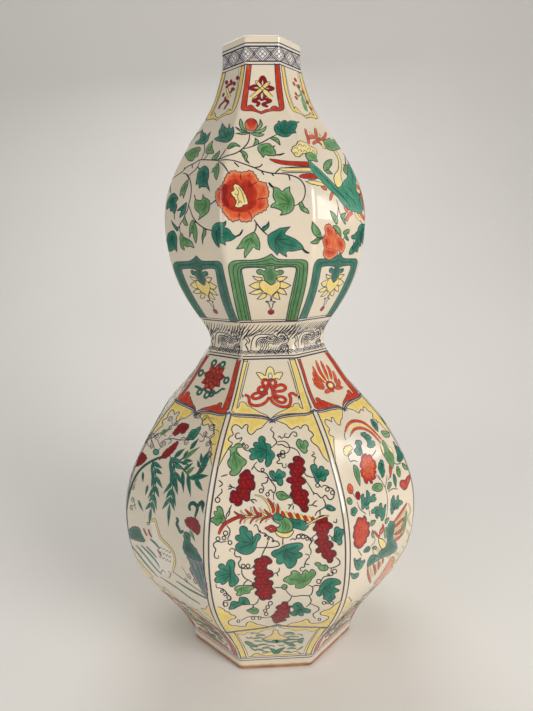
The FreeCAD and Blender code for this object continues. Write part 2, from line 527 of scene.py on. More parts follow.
def wall_side(place, wall):
    """Over 0 outside the middle of the wall and under 0 inside it, for a corner of a ring."""
    slope = float(np.interp(place.z / MM, heights, slopes))
    middle = apothem_at(place.z / MM) - wall / 2 * math.hypot(1, slope)
    return place.xy.length * math.cos(HALF_TURN_OF_FACET) / MM - middle


def round_corners(section, share, wanted):
    """Bevels the edges that run from ring to ring and pass a test, in proportion to the ring."""
    select_edges(section.data, lambda a, b: abs(a.x * b.y - a.y * b.x) < 1e-9 and wanted(a, b))
    bpy.ops.mesh.bevel(offset_type="PERCENT", offset_pct=100 * share / 2, segments=CORNER_STEPS,
                       affect="EDGES")


def smooth(piece):
    bpy.ops.object.select_all(action="DESELECT")
    piece.select_set(True)
    bpy.context.view_layer.objects.active = piece
    bpy.ops.object.shade_smooth_by_angle(angle=math.radians(SHARP_DEGREES))
    weighted = piece.modifiers.new("flat_facets", "WEIGHTED_NORMAL")
    weighted.keep_sharp = True
    bpy.ops.object.modifier_apply(modifier="flat_facets")


def dress(piece, material, slot, *nodes):
    """Gives a finished piece its finish, its place in the frame and the nodes that it stands for."""
    piece.data.materials.clear()
    piece.data.materials.append(material)
    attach(piece, "root")
    if nodes:
        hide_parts(*nodes)


# %% Raise the sections
def span(node):
    low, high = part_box(node)
    return low.z / MM, high.z / MM


for node in OUTER_NODES[1:-1]:
    low, high = span(node)
    section = raise_section(node + "_glazed", outside(low, high) + inside(low, high))
    smooth(section)
    dress(section, glaze, "glazed_porcelain", node)
    print(section.name, "faces:", len(section.data.polygons))

# %% [markdown]
# ## The lip and the foot ring
# The rim goes over a softly rounded lip. The foot ring is thicker than the wall, straight inside, and both of
# its lower edges are taken off so that it doesn't chip.

# %% Raise the rim and the foot
LIP_ROUNDING, LIP_STEPS = 2.0, 6
FOOT_BEVEL, FOOT_WIDTH = 1.2, 9.5


def lip(outer, inner, top):
    """Rings over a rounded lip, from its outer side to its inner side."""
    turns = [math.pi / 2 * i / LIP_STEPS for i in range(LIP_STEPS + 1)]
    low = top - LIP_ROUNDING
    over = [(outer - LIP_ROUNDING * (1 - math.cos(t)), low + LIP_ROUNDING * math.sin(t)) for t in turns]
    back = [(inner + LIP_ROUNDING * (1 - math.cos(t)), low + LIP_ROUNDING * math.sin(t))
            for t in reversed(turns)]
    return over + back


low, high = span("mouth_rim")
lip_start = high - LIP_ROUNDING
mouth = lip(apothem_at(lip_start), inside_apothem(lip_start), high)
rim = raise_section("mouth_rim_glazed", outside(low, lip_start)[:-1] + mouth + inside(low, lip_start)[1:])
smooth(rim)
dress(rim, glaze, "glazed_porcelain", "mouth_rim")
low, high = span("foot_ring")
foot_hole = apothem_at(0) + ENAMEL_DEPTH - FOOT_WIDTH
underside = [(foot_hole, high), (foot_hole, FOOT_BEVEL), (foot_hole + FOOT_BEVEL, 0)]
heel = [(apothem_at(FOOT_BEVEL) - FOOT_BEVEL, 0)]
foot = raise_section("foot_ring_wiped", heel + outside(FOOT_BEVEL, high) + underside, FOOT_WIDTH)
smooth(foot)
dress(foot, foot_clay, "bare_foot", "foot_ring")
inner_glaze = glazed("inner_glaze")
for name, node in frame["nodes"].items():
    if name not in OUTER_NODES:
        node.data.materials.clear()
        node.data.materials.append(foot_clay if name == "base_slab" else inner_glaze)
print("rim faces:", len(rim.data.polygons), "foot faces:", len(foot.data.polygons))

# %% [markdown]
# ## Laying ink and enamel
# The painter draws in thin grey ink and fills the drawing with enamels, which melt into glassy pads a few
# tenths of a millimetre thick. So a touch is either a line or a closed shape, given flat, in millimetres
# across and along a facet. Such free shapes can't be raised from a primitive: each is cut into a net of small
# triangles, which is wrapped round the clay, and Solidify then sinks it into the glaze as a closed pad. A
# smooth line runs through the points that are given, and a point given twice makes a sharp corner.

# %% Draw smooth lines
PARTS_OF_A_CURVE = 8


def even_steps(points, step):
    """The same line with a point at every step."""
    moved = np.concatenate([[True], np.hypot(*np.diff(points, axis=0).T) > 1e-6])
    points = points[moved]
    along = np.concatenate([[0], np.cumsum(np.hypot(*np.diff(points, axis=0).T))])
    places = np.linspace(0, along[-1], max(1, round(along[-1] / step)) + 1)
    return np.stack([np.interp(places, along, points[:, i]) for i in (0, 1)], axis=-1)


def flowing(points, step=1.0, closed=False):
    """A smooth line through the points, which ends on its first point if it is closed."""
    points = np.asarray(points, float)
    ends = (points[-1:], points[:2]) if closed else (points[:1], points[-1:])
    points = np.concatenate([ends[0], points, ends[1]])
    a, b, c, d = (points[i:len(points) - 3 + i] for i in range(4))
    t = (np.arange(PARTS_OF_A_CURVE) / PARTS_OF_A_CURVE)[:, None, None]
    curve = b + 0.5 * t * (c - a + t * (2 * a - 5 * b + 4 * c - d + t * (3 * b - a - 3 * c + d)))
    return even_steps(np.concatenate([curve.transpose(1, 0, 2).reshape(-1, 2), points[-2:-1]]), step)


def turned(shape, at, size, degrees, flip=1):
    """A shape sized, turned and moved to its place."""
    x, y = np.asarray(shape, float).T * size
    c, s = math.cos(math.radians(degrees)), math.sin(math.radians(degrees))
    x = x * flip
    return np.stack([c * x - s * y, s * x + c * y], axis=-1) + at


def circle(at, radius, count=14):
    turns = np.arange(count) * 2 * math.pi / count
    return np.stack([np.cos(turns), np.sin(turns)], axis=-1) * radius + at


print("steps on a smooth line:", len(flowing([(0, 0), (10, 5), (20, 0)])))

# %% Cut a shape into a net
def gaps_to(outline, points):
    """Distance of each point from the nearest point of an outline."""
    return np.sqrt(((points[:, None] - outline[None]) ** 2).sum(-1)).min(1)


def is_inside(outline, points):
    x, y = points.T[:, :, None]
    (x0, y0), (x1, y1) = outline.T, np.roll(outline, -1, axis=0).T
    rises = (y0 > y) != (y1 > y)
    with np.errstate(divide="ignore", invalid="ignore"):
        crossed = rises & (x < x0 + (y - y0) / (y1 - y0) * (x1 - x0))
    return crossed.sum(1) % 2 == 1


def net(outline, spacing):
    """Points and triangles that fill an outline."""
    low, high = outline.min(0), outline.max(0)
    points = outline
    if (high - low).min() > spacing * 1.6:
        axes = [np.arange(low[i] + spacing / 2, high[i], spacing) for i in (0, 1)]
        grid = np.stack(np.meshgrid(*axes), axis=-1)
        grid[1::2, :, 0] += spacing / 2
        grid = grid.reshape(-1, 2)
        grid = grid[is_inside(outline, grid)]
        if len(grid):
            points = np.concatenate([outline, grid[gaps_to(outline, grid) > spacing * 0.5]])
    ring = [list(range(len(outline)))]
    made, _, faces, *_ = delaunay_2d_cdt([Vector(point) for point in points], [], ring, 1, 1e-4)
    return np.array([tuple(point) for point in made]), faces


shape, faces = net(circle((0, 0), 10, 40), 3.0)
print("net of a round pad:", len(shape), "points,", len(faces), "triangles")

# %% [markdown]
# A panel is one design with the facets that carry it. The eight facets repeat a few designs, some of them
# turned left to right, and a slow drift of up to about a millimetre keeps any two from being quite alike. The
# facets that the photograph shows don't drift, nor do frames and borders. Touches lie in levels, a few
# hundredths of a millimetre apart, so that what lies on a higher level covers what is under it.

# %% Paint on a panel
BASE_LIFT, LEVEL_LIFT, ORDER_LIFT, ORDER_CYCLE = 0.05, 0.055, 0.0004, 60
INK_BRUSH = 1.25
TONE_DEPTH = 2.5
CORNER_MARGIN, CORNER_SPACING = 2, 1.2
CHART_MARGIN = 1.5
CHART_FACETS = FACETS + 2 * CHART_MARGIN
SEEN_FACETS = (0, RIGHT_FACET, LEFT_FACET)
BANDS = {"neck": (466, 530), "upper_bulb": (300, 470), "waist": (230, 314), "lower_bulb": (0, 242)}
SIDES = ("front", "right", "back", "left")
pads = {}


def drift(facet, points):
    """How far the hand strays on this facet."""
    a, b, c, d = (random.Random(facet * 11 + i).uniform(0, 2 * math.pi) for i in range(4))
    across, along = points.T
    return np.stack([0.6 * np.sin(along / 23 + a) + 0.25 * np.sin(across / 9 + b),
                     0.6 * np.sin(across / 19 + c) + 0.25 * np.sin(along / 8 + d)], axis=-1)


class Panel:
    """A design in one band of the vase, and the (facet, turned left to right) that carry it."""

    def __init__(self, band, places, drifts=True):
        self.band, self.places, self.drifts, self.touches = band, places, drifts, 0

    def lay(self, colour, points, faces, tones, level):
        """Wraps one touch round the clay on each facet and keeps it with its band's others of that colour."""
        self.touches += 1
        lift = BASE_LIFT + LEVEL_LIFT * level + ORDER_LIFT * (self.touches % ORDER_CYCLE)
        low, high = BANDS[self.band]
        for facet, mirrored in self.places:
            key = (self.band, colour) + ((SIDES[(facet + 1) // 2 % 4],) if colour == "ink" else ())
            kept = pads.setdefault(key, {"points": [], "faces": [], "tones": [], "chart": [], "size": 0})
            flat = points * (-1, 1) if mirrored else points
            if self.drifts and facet not in SEEN_FACETS:
                flat = flat + drift(facet, flat)
            across, along = flat.T
            reach = np.interp(np.interp(along, lengths, heights), heights, apothems)
            half = reach * math.tan(HALF_TURN_OF_FACET)
            kept["points"].append(on_clay(facet, across, along, lift))
            kept["chart"].append(np.stack([(facet + CHART_MARGIN + across / (2 * half)) / CHART_FACETS,
                                           (along - low) / (high - low)], axis=-1))
            kept["tones"].append(tones)
            start = kept["size"]
            kept["faces"] += [[start + i for i in (reversed(face) if mirrored else face)] for face in faces]
            kept["size"] += len(flat)

    def fill(self, colour, outline, level=0, edge=0.2, middle=0.75, ink=0.6, step=1.1, spacing=3.2):
        """A closed shape of enamel, its tone going from the edge to the middle, with an ink outline."""
        outline = flowing(outline, step, closed=True)[:-1]
        corner = half_width_along(outline[:, 1].mean()) - CORNER_MARGIN
        if np.abs(outline[:, 0]).max() > corner:
            spacing = min(spacing, CORNER_SPACING)
        points, faces = net(outline, spacing)
        tones = edge + (middle - edge) * np.clip(gaps_to(outline, points) / TONE_DEPTH, 0, 1)
        self.lay(colour, points, faces, tones, level)
        if ink:
            self.line(outline, ink, level + 0.5, closed=True, step=step, taper=0.15)

    def line(self, path, width=0.62, level=0, colour="ink", tone=0.75, closed=False, step=0.9, taper=0.35,
             edged=0):
        """A brush line that thins towards its ends, with ink along both its sides if it is edged."""
        path = flowing(path, step, closed)
        width *= INK_BRUSH if colour == "ink" else 1
        if closed:
            path = path[:-1]
            ahead = np.roll(path, -1, axis=0) - np.roll(path, 1, axis=0)
        else:
            ahead = np.gradient(path, axis=0)
        ahead /= np.maximum(np.hypot(*ahead.T), 1e-9)[:, None]
        count = len(path)
        reach = np.abs(np.linspace(-1, 1, count)) ** 3
        body = np.ones(count) if closed else 1 - taper * reach
        side = ahead[:, ::-1] * (-1, 1) * (width / 2 * body)[:, None]
        links = range(count if closed else count - 1)
        faces = [[count + i, count + (i + 1) % count, (i + 1) % count, i] for i in links]
        tones = np.tile(tone * (0.75 + 0.25 * body), 2)
        self.lay(colour, np.concatenate([path + side, path - side]), faces, tones, level)
        if edged:
            for way in (1, -1):
                self.line(path + way * side, edged, level + 0.5, closed=closed, step=step)


def curl(panel, at, size, degrees, flip):
    """A small tendril that rolls up at its end."""
    turns = np.linspace(0, 3.3 * math.pi, 20)
    reach = 1 - turns / turns[-1] * 0.78
    coil = np.stack([np.cos(turns) * reach, np.sin(turns) * reach], axis=-1) / 2
    path = np.concatenate([[(1.15, -1.3), (0.62, -0.7)], coil])
    panel.line(turned(path, at, size, degrees, flip), 0.42, 0.4, tone=0.65, step=0.6)


def around(band, along, width, tone, colour="ink"):
    """A line all the way round the vase."""
    half = half_width_along(along)
    ring = Panel(band, [(0, False)], drifts=False)
    ring.line([(-half, along), (half * (2 * FACETS - 1), along)], width, 0, colour, tone, step=0.7, taper=0)


EVERY = [(facet, False) for facet in range(FACETS)]
EVEN, ODD = EVERY[::2], EVERY[1::2]
LIKE_THE_RIGHT = [(1, False), (5, False)]
LIKE_THE_LEFT = [(7, False), (3, True)]
print("bands:", ", ".join(BANDS))

# %% [markdown]
# ## The rim band
# Under the bare rim runs a band of trellis in blue-grey: crossed double lines, two crossings to a facet, with
# a four-petalled flower in each lozenge and dots in the halves. It is framed by two lines above and two
# below.

# %% Paint the rim band
RIM_BAND_LINES = ((523.6, 0.8), (521.4, 1.1), (511.4, 1.1), (509.1, 0.7))
for along, width in RIM_BAND_LINES:
    around("neck", along, width, tone=0.9, colour="blue")
BAND_LOW, BAND_HIGH = 511.8, 521.0
band_middle = (BAND_LOW + BAND_HIGH) / 2
pitch_of_trellis = half_width_at(467)
trellis = Panel("neck", EVERY, drifts=False)
for k in (-1, 1):
    x = k * pitch_of_trellis / 2
    for lean in (-1, 1):
        for gap in (-0.65, 0.65):
            start, end = (x - lean * 4.7 + gap, BAND_LOW), (x + lean * 4.7 + gap, BAND_HIGH)
            trellis.line([start, end], 0.55, 0.2, "blue", tone=1.0, taper=0)
    for side in (-1, 1):
        tip = band_middle + side * 1.6
        for j in range(3):
            reach = 1.1 + j * 0.9
            level = tip + side * j * 0.95
            trellis.line([(x - reach, level), (x + reach, level)], 0.5, 0, "blue", tone=0.9, taper=0.1)
for k in (0, 1):
    x = k * pitch_of_trellis
    lozenge = [(x - 4.2, band_middle), (x - 4.2, band_middle), (x, BAND_HIGH - 0.5), (x, BAND_HIGH - 0.5),
               (x + 4.2, band_middle), (x + 4.2, band_middle), (x, BAND_LOW + 0.5), (x, BAND_LOW + 0.5)]
    trellis.fill("blue", lozenge, 0, -0.1, 0.1, ink=0)
    for turn in range(4):
        petal = (x + 1.6 * math.cos(turn * math.pi / 2), band_middle + 1.6 * math.sin(turn * math.pi / 2))
        trellis.fill("white", circle(petal, 1.3, 10), 1.2, 0.3, 0.3, ink=0.22)
    trellis.fill("blue", circle((x, band_middle), 0.5, 8), 2.2, 0.8, 0.8, ink=0)
print("lozenges round the rim:", 2 * FACETS)

# %% [markdown]
# ## The neck panels
# Each neck facet has a hanging frame with a scalloped, pointed lower edge, in iron red and yellow by turns.
# The red frames hold tied ribbons with a pair of crossed yellow staffs. Two of the yellow ones hold a budding
# branch, and the other two have ribbons, crimson petals and a single yellow staff.

# %% Paint the neck frames
NECK_FRAME = [(247, 64.8), (247, 64.8), (243.7, 90), (241.4, 105), (241.4, 109.5), (244.5, 110.8), (252, 111),
              (257, 112.2), (261.4, 114), (261.4, 114), (266, 112.3), (272, 111), (280.5, 111), (283.7, 109),
              (283.9, 105), (281.8, 88), (279.4, 64.8), (279.4, 64.8), (274.8, 64.8), (274.8, 64.8),
              (276.3, 88), (278.6, 103), (279.4, 107.4), (279.4, 107.4), (277.5, 107.6), (275.5, 106),
              (272, 106.8), (270, 109), (265.5, 109.8), (261.4, 111.8), (261.4, 111.8), (257.5, 110.3),
              (254.5, 108), (252.5, 105.6), (250, 105), (248.3, 106), (246.6, 107.3), (246.6, 107.3),
              (247.5, 98), (249.8, 80), (251.4, 64.8), (251.4, 64.8)]
neck_frame = seen_at(NECK_FRAME)
for places, colour in ((EVEN, "iron_red"), (ODD, "yellow")):
    frame_panel = Panel("neck", places, drifts=False)
    frame_panel.fill(colour, neck_frame, 0, 0.45, 0.65, ink=0.5, step=0.9, spacing=2)
for x in (-1, 1):
    inner = [(-0.6 + x * 6.9, 508), (-0.6 + x * 9.6, 482), (-0.6 + x * 10.2, 477)]
    Panel("neck", ODD, drifts=False).line(inner, 0.4, 0.2, "blue", tone=0.5)
print("points on a neck frame:", len(neck_frame))

# %% Paint the neck emblems
STAFF_RIBBONS = [
    ([(261, 88), (260, 83.5), (260.8, 79.5), (262.8, 77.2), (264.6, 79.5), (265.2, 83.5), (263, 88)], 1.6),
    ([(262, 89.3), (257, 90), (252, 89.2), (250.3, 88.2), (253, 86.3), (257.5, 85.8), (262, 88.3)], 1.4),
    ([(263, 89.3), (267, 90.3), (270.5, 89.8), (273.2, 88.6), (270, 87), (267, 86.5), (263, 88.3)], 1.4),
    ([(261.5, 91), (258.8, 95), (258.3, 98.3), (253.2, 101), (258.8, 103), (256.6, 106.5)], 1.5),
    ([(262.8, 91), (265, 95), (264.6, 98.6), (270.5, 101), (263, 104.3), (268, 106.8)], 1.5),
    ([(259.5, 92), (259.8, 98), (262, 100), (264.3, 98), (264, 92)], 1.1)]
staffs = Panel("neck", EVEN)
for path, width in STAFF_RIBBONS:
    staffs.line(seen_at(path), width * 1.6, 0.4, "crimson", tone=0.55, taper=0.2, step=0.6, edged=0.2)
staffs.line(seen_at([(269, 82.5), (251, 98)]), 2.7, 1.6, "yellow", tone=0.4, taper=0.1, edged=0.4)
staffs.line(seen_at([(256.8, 82), (265, 91.5)]), 2.3, 1.6, "yellow", tone=0.4, taper=0, edged=0.4)
staffs.line(seen_at([(264.5, 91), (271.3, 98)]), 3.4, 1.6, "yellow", tone=0.35, taper=0, edged=0.4)
for ball in ((268.8, 82.6), (256.6, 81.6)):
    staffs.fill("yellow", circle(seen_at([ball])[0], 0.95, 10), 1.8, 0.2, 0.4, ink=0.35)
knots = Panel("neck", LIKE_THE_LEFT[::-1])
LEFT_RIBBONS = ([(230.4, 84.2), (228, 85.8), (225.6, 88)], [(230.6, 93.2), (231.4, 91.4), (233, 89.4)],
                [(223.8, 93), (223.4, 95), (222.6, 96.8)],
                [(225.4, 96.6), (225, 100), (222.6, 103), (220.2, 105.4), (219, 109)],
                [(225, 100), (227, 101), (228.2, 102.6), (226.2, 105.8), (224.2, 109.4)])
for path in LEFT_RIBBONS:
    knots.line(left_side(path), 2.1, 0.4, "crimson", tone=0.5, taper=0.2, step=0.6, edged=0.2)
PETALS = [((237.6, 78), (1.5, 2.0)), ((226.6, 82.4), (1.5, 2.0)), ((231.3, 82.4), (1.2, 2.8)),
          ((234.3, 83.6), (1.6, 2.0)), ((233, 89.1), (1.9, 1.6))]
for place, size in PETALS:
    petal = left_side(circle((0, 0), 1, 12) * size + place)
    knots.fill("crimson", petal, 1.4, 0.4, 0.6, ink=0.25, step=0.6, spacing=1.6)
LEFT_STAFF = [(227, 88.4), (228.4, 93), (229.9, 97.6)]
knots.line(left_side(LEFT_STAFF), 1.9, 2.4, "yellow", tone=0.4, taper=0, edged=0.3)
branch = Panel("neck", LIKE_THE_RIGHT)
BRANCH_TWIGS = (([(296.2, 84.7), (300.3, 91.3), (302.8, 98), (306.1, 110.4)], 1.6),
                ([(301.5, 94), (297.5, 97)], 0.9), ([(304, 102), (308.5, 104)], 1.2),
                ([(302.8, 98), (304.5, 105), (306.3, 111)], 3.0), ([(301, 92), (303.3, 91.5)], 0.8))
for path, width in BRANCH_TWIGS:
    branch.line(right_side(path), width * 1.6, 0.4, "light_green", tone=0.45, taper=0.3)
BRANCH_BUDS = ((295.4, 80), (294, 84), (298.7, 86.4), (296.2, 94.2), (296.2, 98), (303.2, 92.2), (307.4, 102),
               (310.7, 108.3))
for x, y in BRANCH_BUDS:
    tip = right_side([(x - 1.3, y - 1.8), (x + 1.3, y + 1.8)])
    branch.line(tip, 2.7, 1.5, "iron_red", tone=0.5, taper=0.5, edged=0.25)
print("buds on a branch:", len(BRANCH_BUDS))

# %% [markdown]
# ## Flowers and birds
# The upper bulb, the shoulder and the tall panels share a few motifs, so each is drawn by a helper: an edge
# that swells out in lobes, a leaf with its veins, and an oval.

# %% Draw the shared motifs
SCALLOP_STEP = 0.7


def scalloped(outline, size, depth):
    """An outline whose edge swells out in even, rounded lobes."""
    line = flowing(outline, SCALLOP_STEP, closed=True)[:-1]
    ahead = np.roll(line, -1, axis=0) - np.roll(line, 1, axis=0)
    ahead /= np.maximum(np.hypot(*ahead.T), 1e-9)[:, None]
    area = np.cross(line, np.roll(line, -1, axis=0)).sum()
    outward = ahead[:, ::-1] * (1, -1) * np.sign(area)
    lobes = max(3, round(SCALLOP_STEP * len(line) / size))
    swell = np.abs(np.sin(np.pi * lobes * np.arange(len(line)) / len(line))) ** 0.7 - 0.5
    return line + outward * (swell * depth)[:, None]


def veined_leaf(panel, colour, outline, veins, level=1):
    """A leaf whose veins fan out from its stalk, which is its first point."""
    outline = np.asarray(outline, float)
    panel.fill(colour, outline, level, edge=0.4, middle=0.62, ink=0.5)
    middle, stalk = outline.mean(0), outline[0]
    start = middle + (stalk - middle) * 0.6
    for i in range(veins):
        tip = outline[round((i + 1) * len(outline) / (veins + 1)) % len(outline)]
        end = start + (tip - start) * 0.75
        bow = (start + end) / 2 + (end - start)[::-1] * (0.06, -0.06)
        panel.line([start, bow, end], 0.55, level + 0.7, colour, tone=1.35, taper=0.7)


def oval(at, wide, high):
    return circle((0, 0), 1, 16) * (wide / 2, high / 2) + at


print("points on a scalloped circle:", len(scalloped(circle((0, 0), 10), 3, 1)))

# %% [markdown]
# ## The upper bulb
# One peony with its leaves fills each even facet. On two of the facets between them a phoenix flies up with
# long red and yellow tail feathers, and the other two carry scrolling leaves. Stems and feathers cross the
# rounded corners, as on the real vase, so their touches are simply carried on round the clay.

# %% Paint the peony branch
def foliage(panel, leaves, look):
    """Leaves given as (colour, veins, outline), where the first point is the stalk."""
    for colour, veins, outline in leaves:
        veined_leaf(panel, colour, look(outline), veins)


branch_panel = Panel("upper_bulb", EVEN)
BRANCH_STEMS = [[(249.6, 132), (249.4, 138), (247, 144), (241, 150), (235, 153.5), (226, 156), (219.5, 159),
                 (215, 160.4)], [(243, 149), (252, 146.5), (262, 142.5), (270, 138), (277, 134.4)],
                [(217, 160.5), (232, 160.3), (243, 163.6), (254, 167.6), (262, 171), (272, 173.2), (285, 174),
                 (297, 177.5), (303, 183), (305.3, 190), (304, 198), (300, 203), (294, 206)],
                [(254, 167.6), (260, 166.6), (262.4, 163.8)], [(234, 162), (239, 167)],
                [(261, 170.6), (264, 174.8)], [(271, 173), (274, 176)],
                [(275, 173), (280.6, 168.4), (284, 168.2)], [(287, 173.5), (289, 176), (290, 180.4)],
                [(218, 161), (223, 164.5), (227, 170), (229, 174)], [(226, 149), (222, 155), (218, 160)],
                [(254, 219.5), (257, 224), (262, 230), (268.5, 236)],
                [(256, 222.6), (256, 228), (254, 232.5)]]
for stem in BRANCH_STEMS:
    branch_panel.line(seen_at(stem), 0.75, tone=0.8)
BRANCH_STUBS = (([(296.4, 122.4), (299.4, 122)], 1.0), ([(275, 154.9), (280, 154.8), (284.4, 153.2)], 1.0),
                ([(274, 188), (271, 185.6), (268.6, 182.4)], 1.2),
                ([(235, 236.8), (240, 234.4), (242.8, 229.4)], 1.0),
                ([(302, 248.2), (306, 252), (309.4, 252.8)], 1.3))
for path, width in BRANCH_STUBS:
    branch_panel.line(seen_at(path), width, 0.8, "ink", tone=0.95, taper=0.5)
BRANCH_LEAVES = [("dark_green", 6,
                  [(278, 134.8), (275.6, 132.5), (274.2, 129), (275, 125.6), (277.6, 123.4), (278.6, 120.6),
                   (278.6, 120.6), (281.4, 122.6), (283, 120.8), (286, 120.6), (287.6, 122.6), (289.6, 121),
                   (293, 121), (296.6, 122.4), (297, 126), (295, 130), (296.2, 133), (296.2, 133),
                   (291.6, 133.6), (289.6, 135.8), (286, 137), (281.6, 136.4)]),
                 ("light_green", 2,
                  [(253.4, 145.4), (255, 142), (255.2, 138.2), (255.2, 138.2), (258.6, 141), (257.8, 144.2)]),
                 ("light_green", 5,
                  [(258.2, 146.4), (261, 144.6), (266, 143.6), (270, 144), (271.8, 146.2), (275, 145.8),
                   (275, 145.8), (273.2, 147.8), (275.2, 150.6), (275.4, 153.6), (276, 155.4), (271.6, 156),
                   (267.6, 155.6), (265.2, 154.4), (263.4, 158), (263.4, 158), (261, 154.2), (258.8, 151.6),
                   (257.8, 148.6)]),
                 ("light_green", 2,
                  [(227, 148.4), (229, 144.8), (232.5, 142.8), (236.4, 143.6), (240.6, 146.8), (240.6, 146.8),
                   (236, 146), (233, 147.2), (230, 148.6)]),
                 ("light_green", 2,
                  [(239.8, 151.4), (243.4, 151), (246.4, 153.5), (247.6, 157), (246.6, 159.4), (249.4, 163.4),
                   (249.4, 163.4), (245.3, 160.6), (244.2, 156), (242.2, 153.2)]),
                 ("light_green", 2,
                  [(270.4, 138.2), (275, 137.3), (278.8, 140), (280.2, 145.4), (280.2, 145.4), (276.8, 142.2),
                   (273.4, 140.2)]),
                 ("light_green", 7,
                  [(294, 205.6), (293.4, 209), (290, 212.6), (286, 214.2), (280, 215.4), (280, 215.4),
                   (282.4, 211.6), (279, 209.4), (275, 208), (270.6, 207.2), (270.6, 207.2), (272.4, 204),
                   (276, 202.2), (274, 199), (273, 195), (273.6, 190), (272.6, 186.8), (275.6, 187.4),
                   (279, 188.8), (282, 191.8), (283.6, 190.4), (286, 188.4), (289.8, 187), (289.8, 187),
                   (290, 192), (292, 196), (294, 200.6)]),
                 ("light_green", 2,
                  [(299, 203), (302, 202.4), (304.5, 207), (307.6, 209.4), (309.2, 213.8), (309.2, 213.8),
                   (305, 212.2), (301.4, 210.2), (299.8, 206.6)]),
                 ("dark_green", 6,
                  [(212, 230.5), (213, 226.5), (216, 223.4), (220, 222.6), (223.4, 222.8), (226, 221),
                   (226, 221), (225.6, 224.6), (224, 227.2), (227.6, 228.4), (230.2, 230.8), (232.2, 234),
                   (236, 236.8), (233, 239.4), (229.6, 241), (225, 241.4), (225.6, 245), (225.6, 245),
                   (221, 242.8), (219.4, 243), (219.4, 247.6), (219.4, 247.6), (216, 244.4), (213.4, 239.6),
                   (211.9, 235)]),
                 ("light_green", 5,
                  [(253.6, 232.2), (250, 234), (245.4, 236.8), (242, 240.4), (239.4, 245), (236, 249.2),
                   (236, 249.2), (240, 248.6), (243.4, 248), (245.4, 248.6), (244.3, 253), (244.7, 258.2),
                   (244.7, 258.2), (248.6, 253), (251.4, 249.6), (253.5, 246.4), (255.6, 248.6),
                   (259.6, 249.9), (259.6, 249.9), (259.9, 244), (258.6, 239), (256.2, 234.5)]),
                 ("dark_green", 7,
                  [(268.2, 235.8), (271.5, 232.8), (276, 230.4), (280, 228.2), (284, 227.8), (290, 226.8),
                   (290, 226.8), (287, 230), (285, 232.5), (284.8, 234.6), (289, 236.4), (294, 238.5),
                   (298.5, 241.8), (301.6, 244.8), (304, 248.8), (304, 248.8), (298, 250.1), (292, 251.2),
                   (288.4, 250.8), (285.8, 252.4), (286.9, 256.8), (286.9, 256.8), (283, 254.8), (280, 252.5),
                   (278.4, 252.4), (277.6, 255.4), (277.6, 255.4), (274.4, 251.6), (270, 247.5),
                   (268.1, 242)]),
                 ("dark_green", 1,
                  [(261.8, 229.2), (264, 226), (267, 225.3), (268.7, 221.6), (268.7, 221.6), (269, 226),
                   (266.5, 229.2), (264, 230.8)])]
foliage(branch_panel, BRANCH_LEAVES, seen_at)
print("peony branch:", len(BRANCH_STEMS), "stems,", len(BRANCH_LEAVES), "leaves")

# %% Paint the bud and the great peony
SEPALS = [[(247, 132), (243, 130.6), (239.8, 126), (239.4, 122), (240.4, 119), (240.4, 119), (242.6, 122.6),
           (243.4, 127)],
          [(249, 132.8), (244, 132.4), (239, 130.6), (235.6, 127), (235.6, 127), (240, 129.4), (245, 130.6)],
          [(249.4, 133.4), (243, 134.6), (236.2, 133.6), (236.2, 133.6), (243, 132.8)],
          [(255.6, 131.6), (259.6, 129), (262.4, 124.6), (260, 119.4), (260, 119.4), (259.8, 124),
           (257, 128)],
          [(252.4, 132.6), (259, 133), (264.6, 130.8), (266.2, 126.2), (266.2, 126.2), (262, 129.2),
           (256.6, 131)],
          [(250.6, 132.8), (255.4, 136), (261, 136.4), (264, 134.4), (264, 134.4), (258.4, 133.4),
           (253.4, 132.4)]]
branch_panel.fill("iron_red", seen_at(circle((251.2, 124.8), 6.3, 14)), 1, 0.1, 0.45, ink=0.45, spacing=1.8)
BUD_PETALS = [(246.4, 122), (249, 119.6), (251.4, 118.2), (254, 119.8), (256.4, 122.4), (254, 125),
              (251.2, 126.6), (248.4, 125)]
branch_panel.fill("iron_red", seen_at(BUD_PETALS), 1.8, 0.5, 0.7, ink=0.2, spacing=1.8)
for sepal in SEPALS:
    branch_panel.fill("light_green", seen_at(sepal), 2.4, 0.35, 0.6, ink=0.45, step=0.8)
GREAT_PEONY = [(229, 173), (233, 171), (237, 172), (241, 172.6), (246, 172), (251, 170.8), (254, 174),
               (256.5, 177.5), (258.5, 181), (261.5, 182.5), (265, 183), (267, 186), (267.6, 189.5),
               (268.7, 194), (267, 198), (267.2, 202), (267.7, 206), (265.5, 209.5), (261.5, 212), (257, 214),
               (253, 217), (250.5, 220.7), (246.5, 221.5), (242, 221.2), (238.5, 219.5), (234, 221.2),
               (230.5, 220), (228, 217.5), (225.5, 214.5), (223, 211), (221, 207), (218, 204.5), (216.2, 200),
               (216, 195), (216.8, 190.5), (220, 188), (222.3, 184), (224.5, 180), (226.5, 176)]
BOWL = [(227, 182), (232, 179), (238, 180), (241, 182.4), (245, 179.4), (250, 180), (252.6, 183.6),
        (254, 187), (257, 190), (257.6, 195), (256, 199), (257, 202.6), (255.6, 206.6), (252, 208.6),
        (249, 210.8), (246, 212.4), (242, 212.6), (239, 211.4), (234, 211.8), (229.6, 210), (227, 207),
        (225, 203.6), (222, 199.6), (221.6, 194), (224, 189.6), (225.6, 186)]
HOLLOWS = [[(222, 186), (226, 184), (228, 190), (227.6, 198), (231, 205), (229, 209), (225, 206),
            (221.6, 200), (221, 192)],
           [(229, 207), (233, 207), (240, 208.6), (246, 206.6), (251, 205.4), (252.6, 207.4), (249, 210),
            (243, 211.6), (236, 211.4), (231, 210)],
           [(246, 184), (249, 182), (252, 183.4), (253.6, 187), (251, 190.6), (248, 189)]]
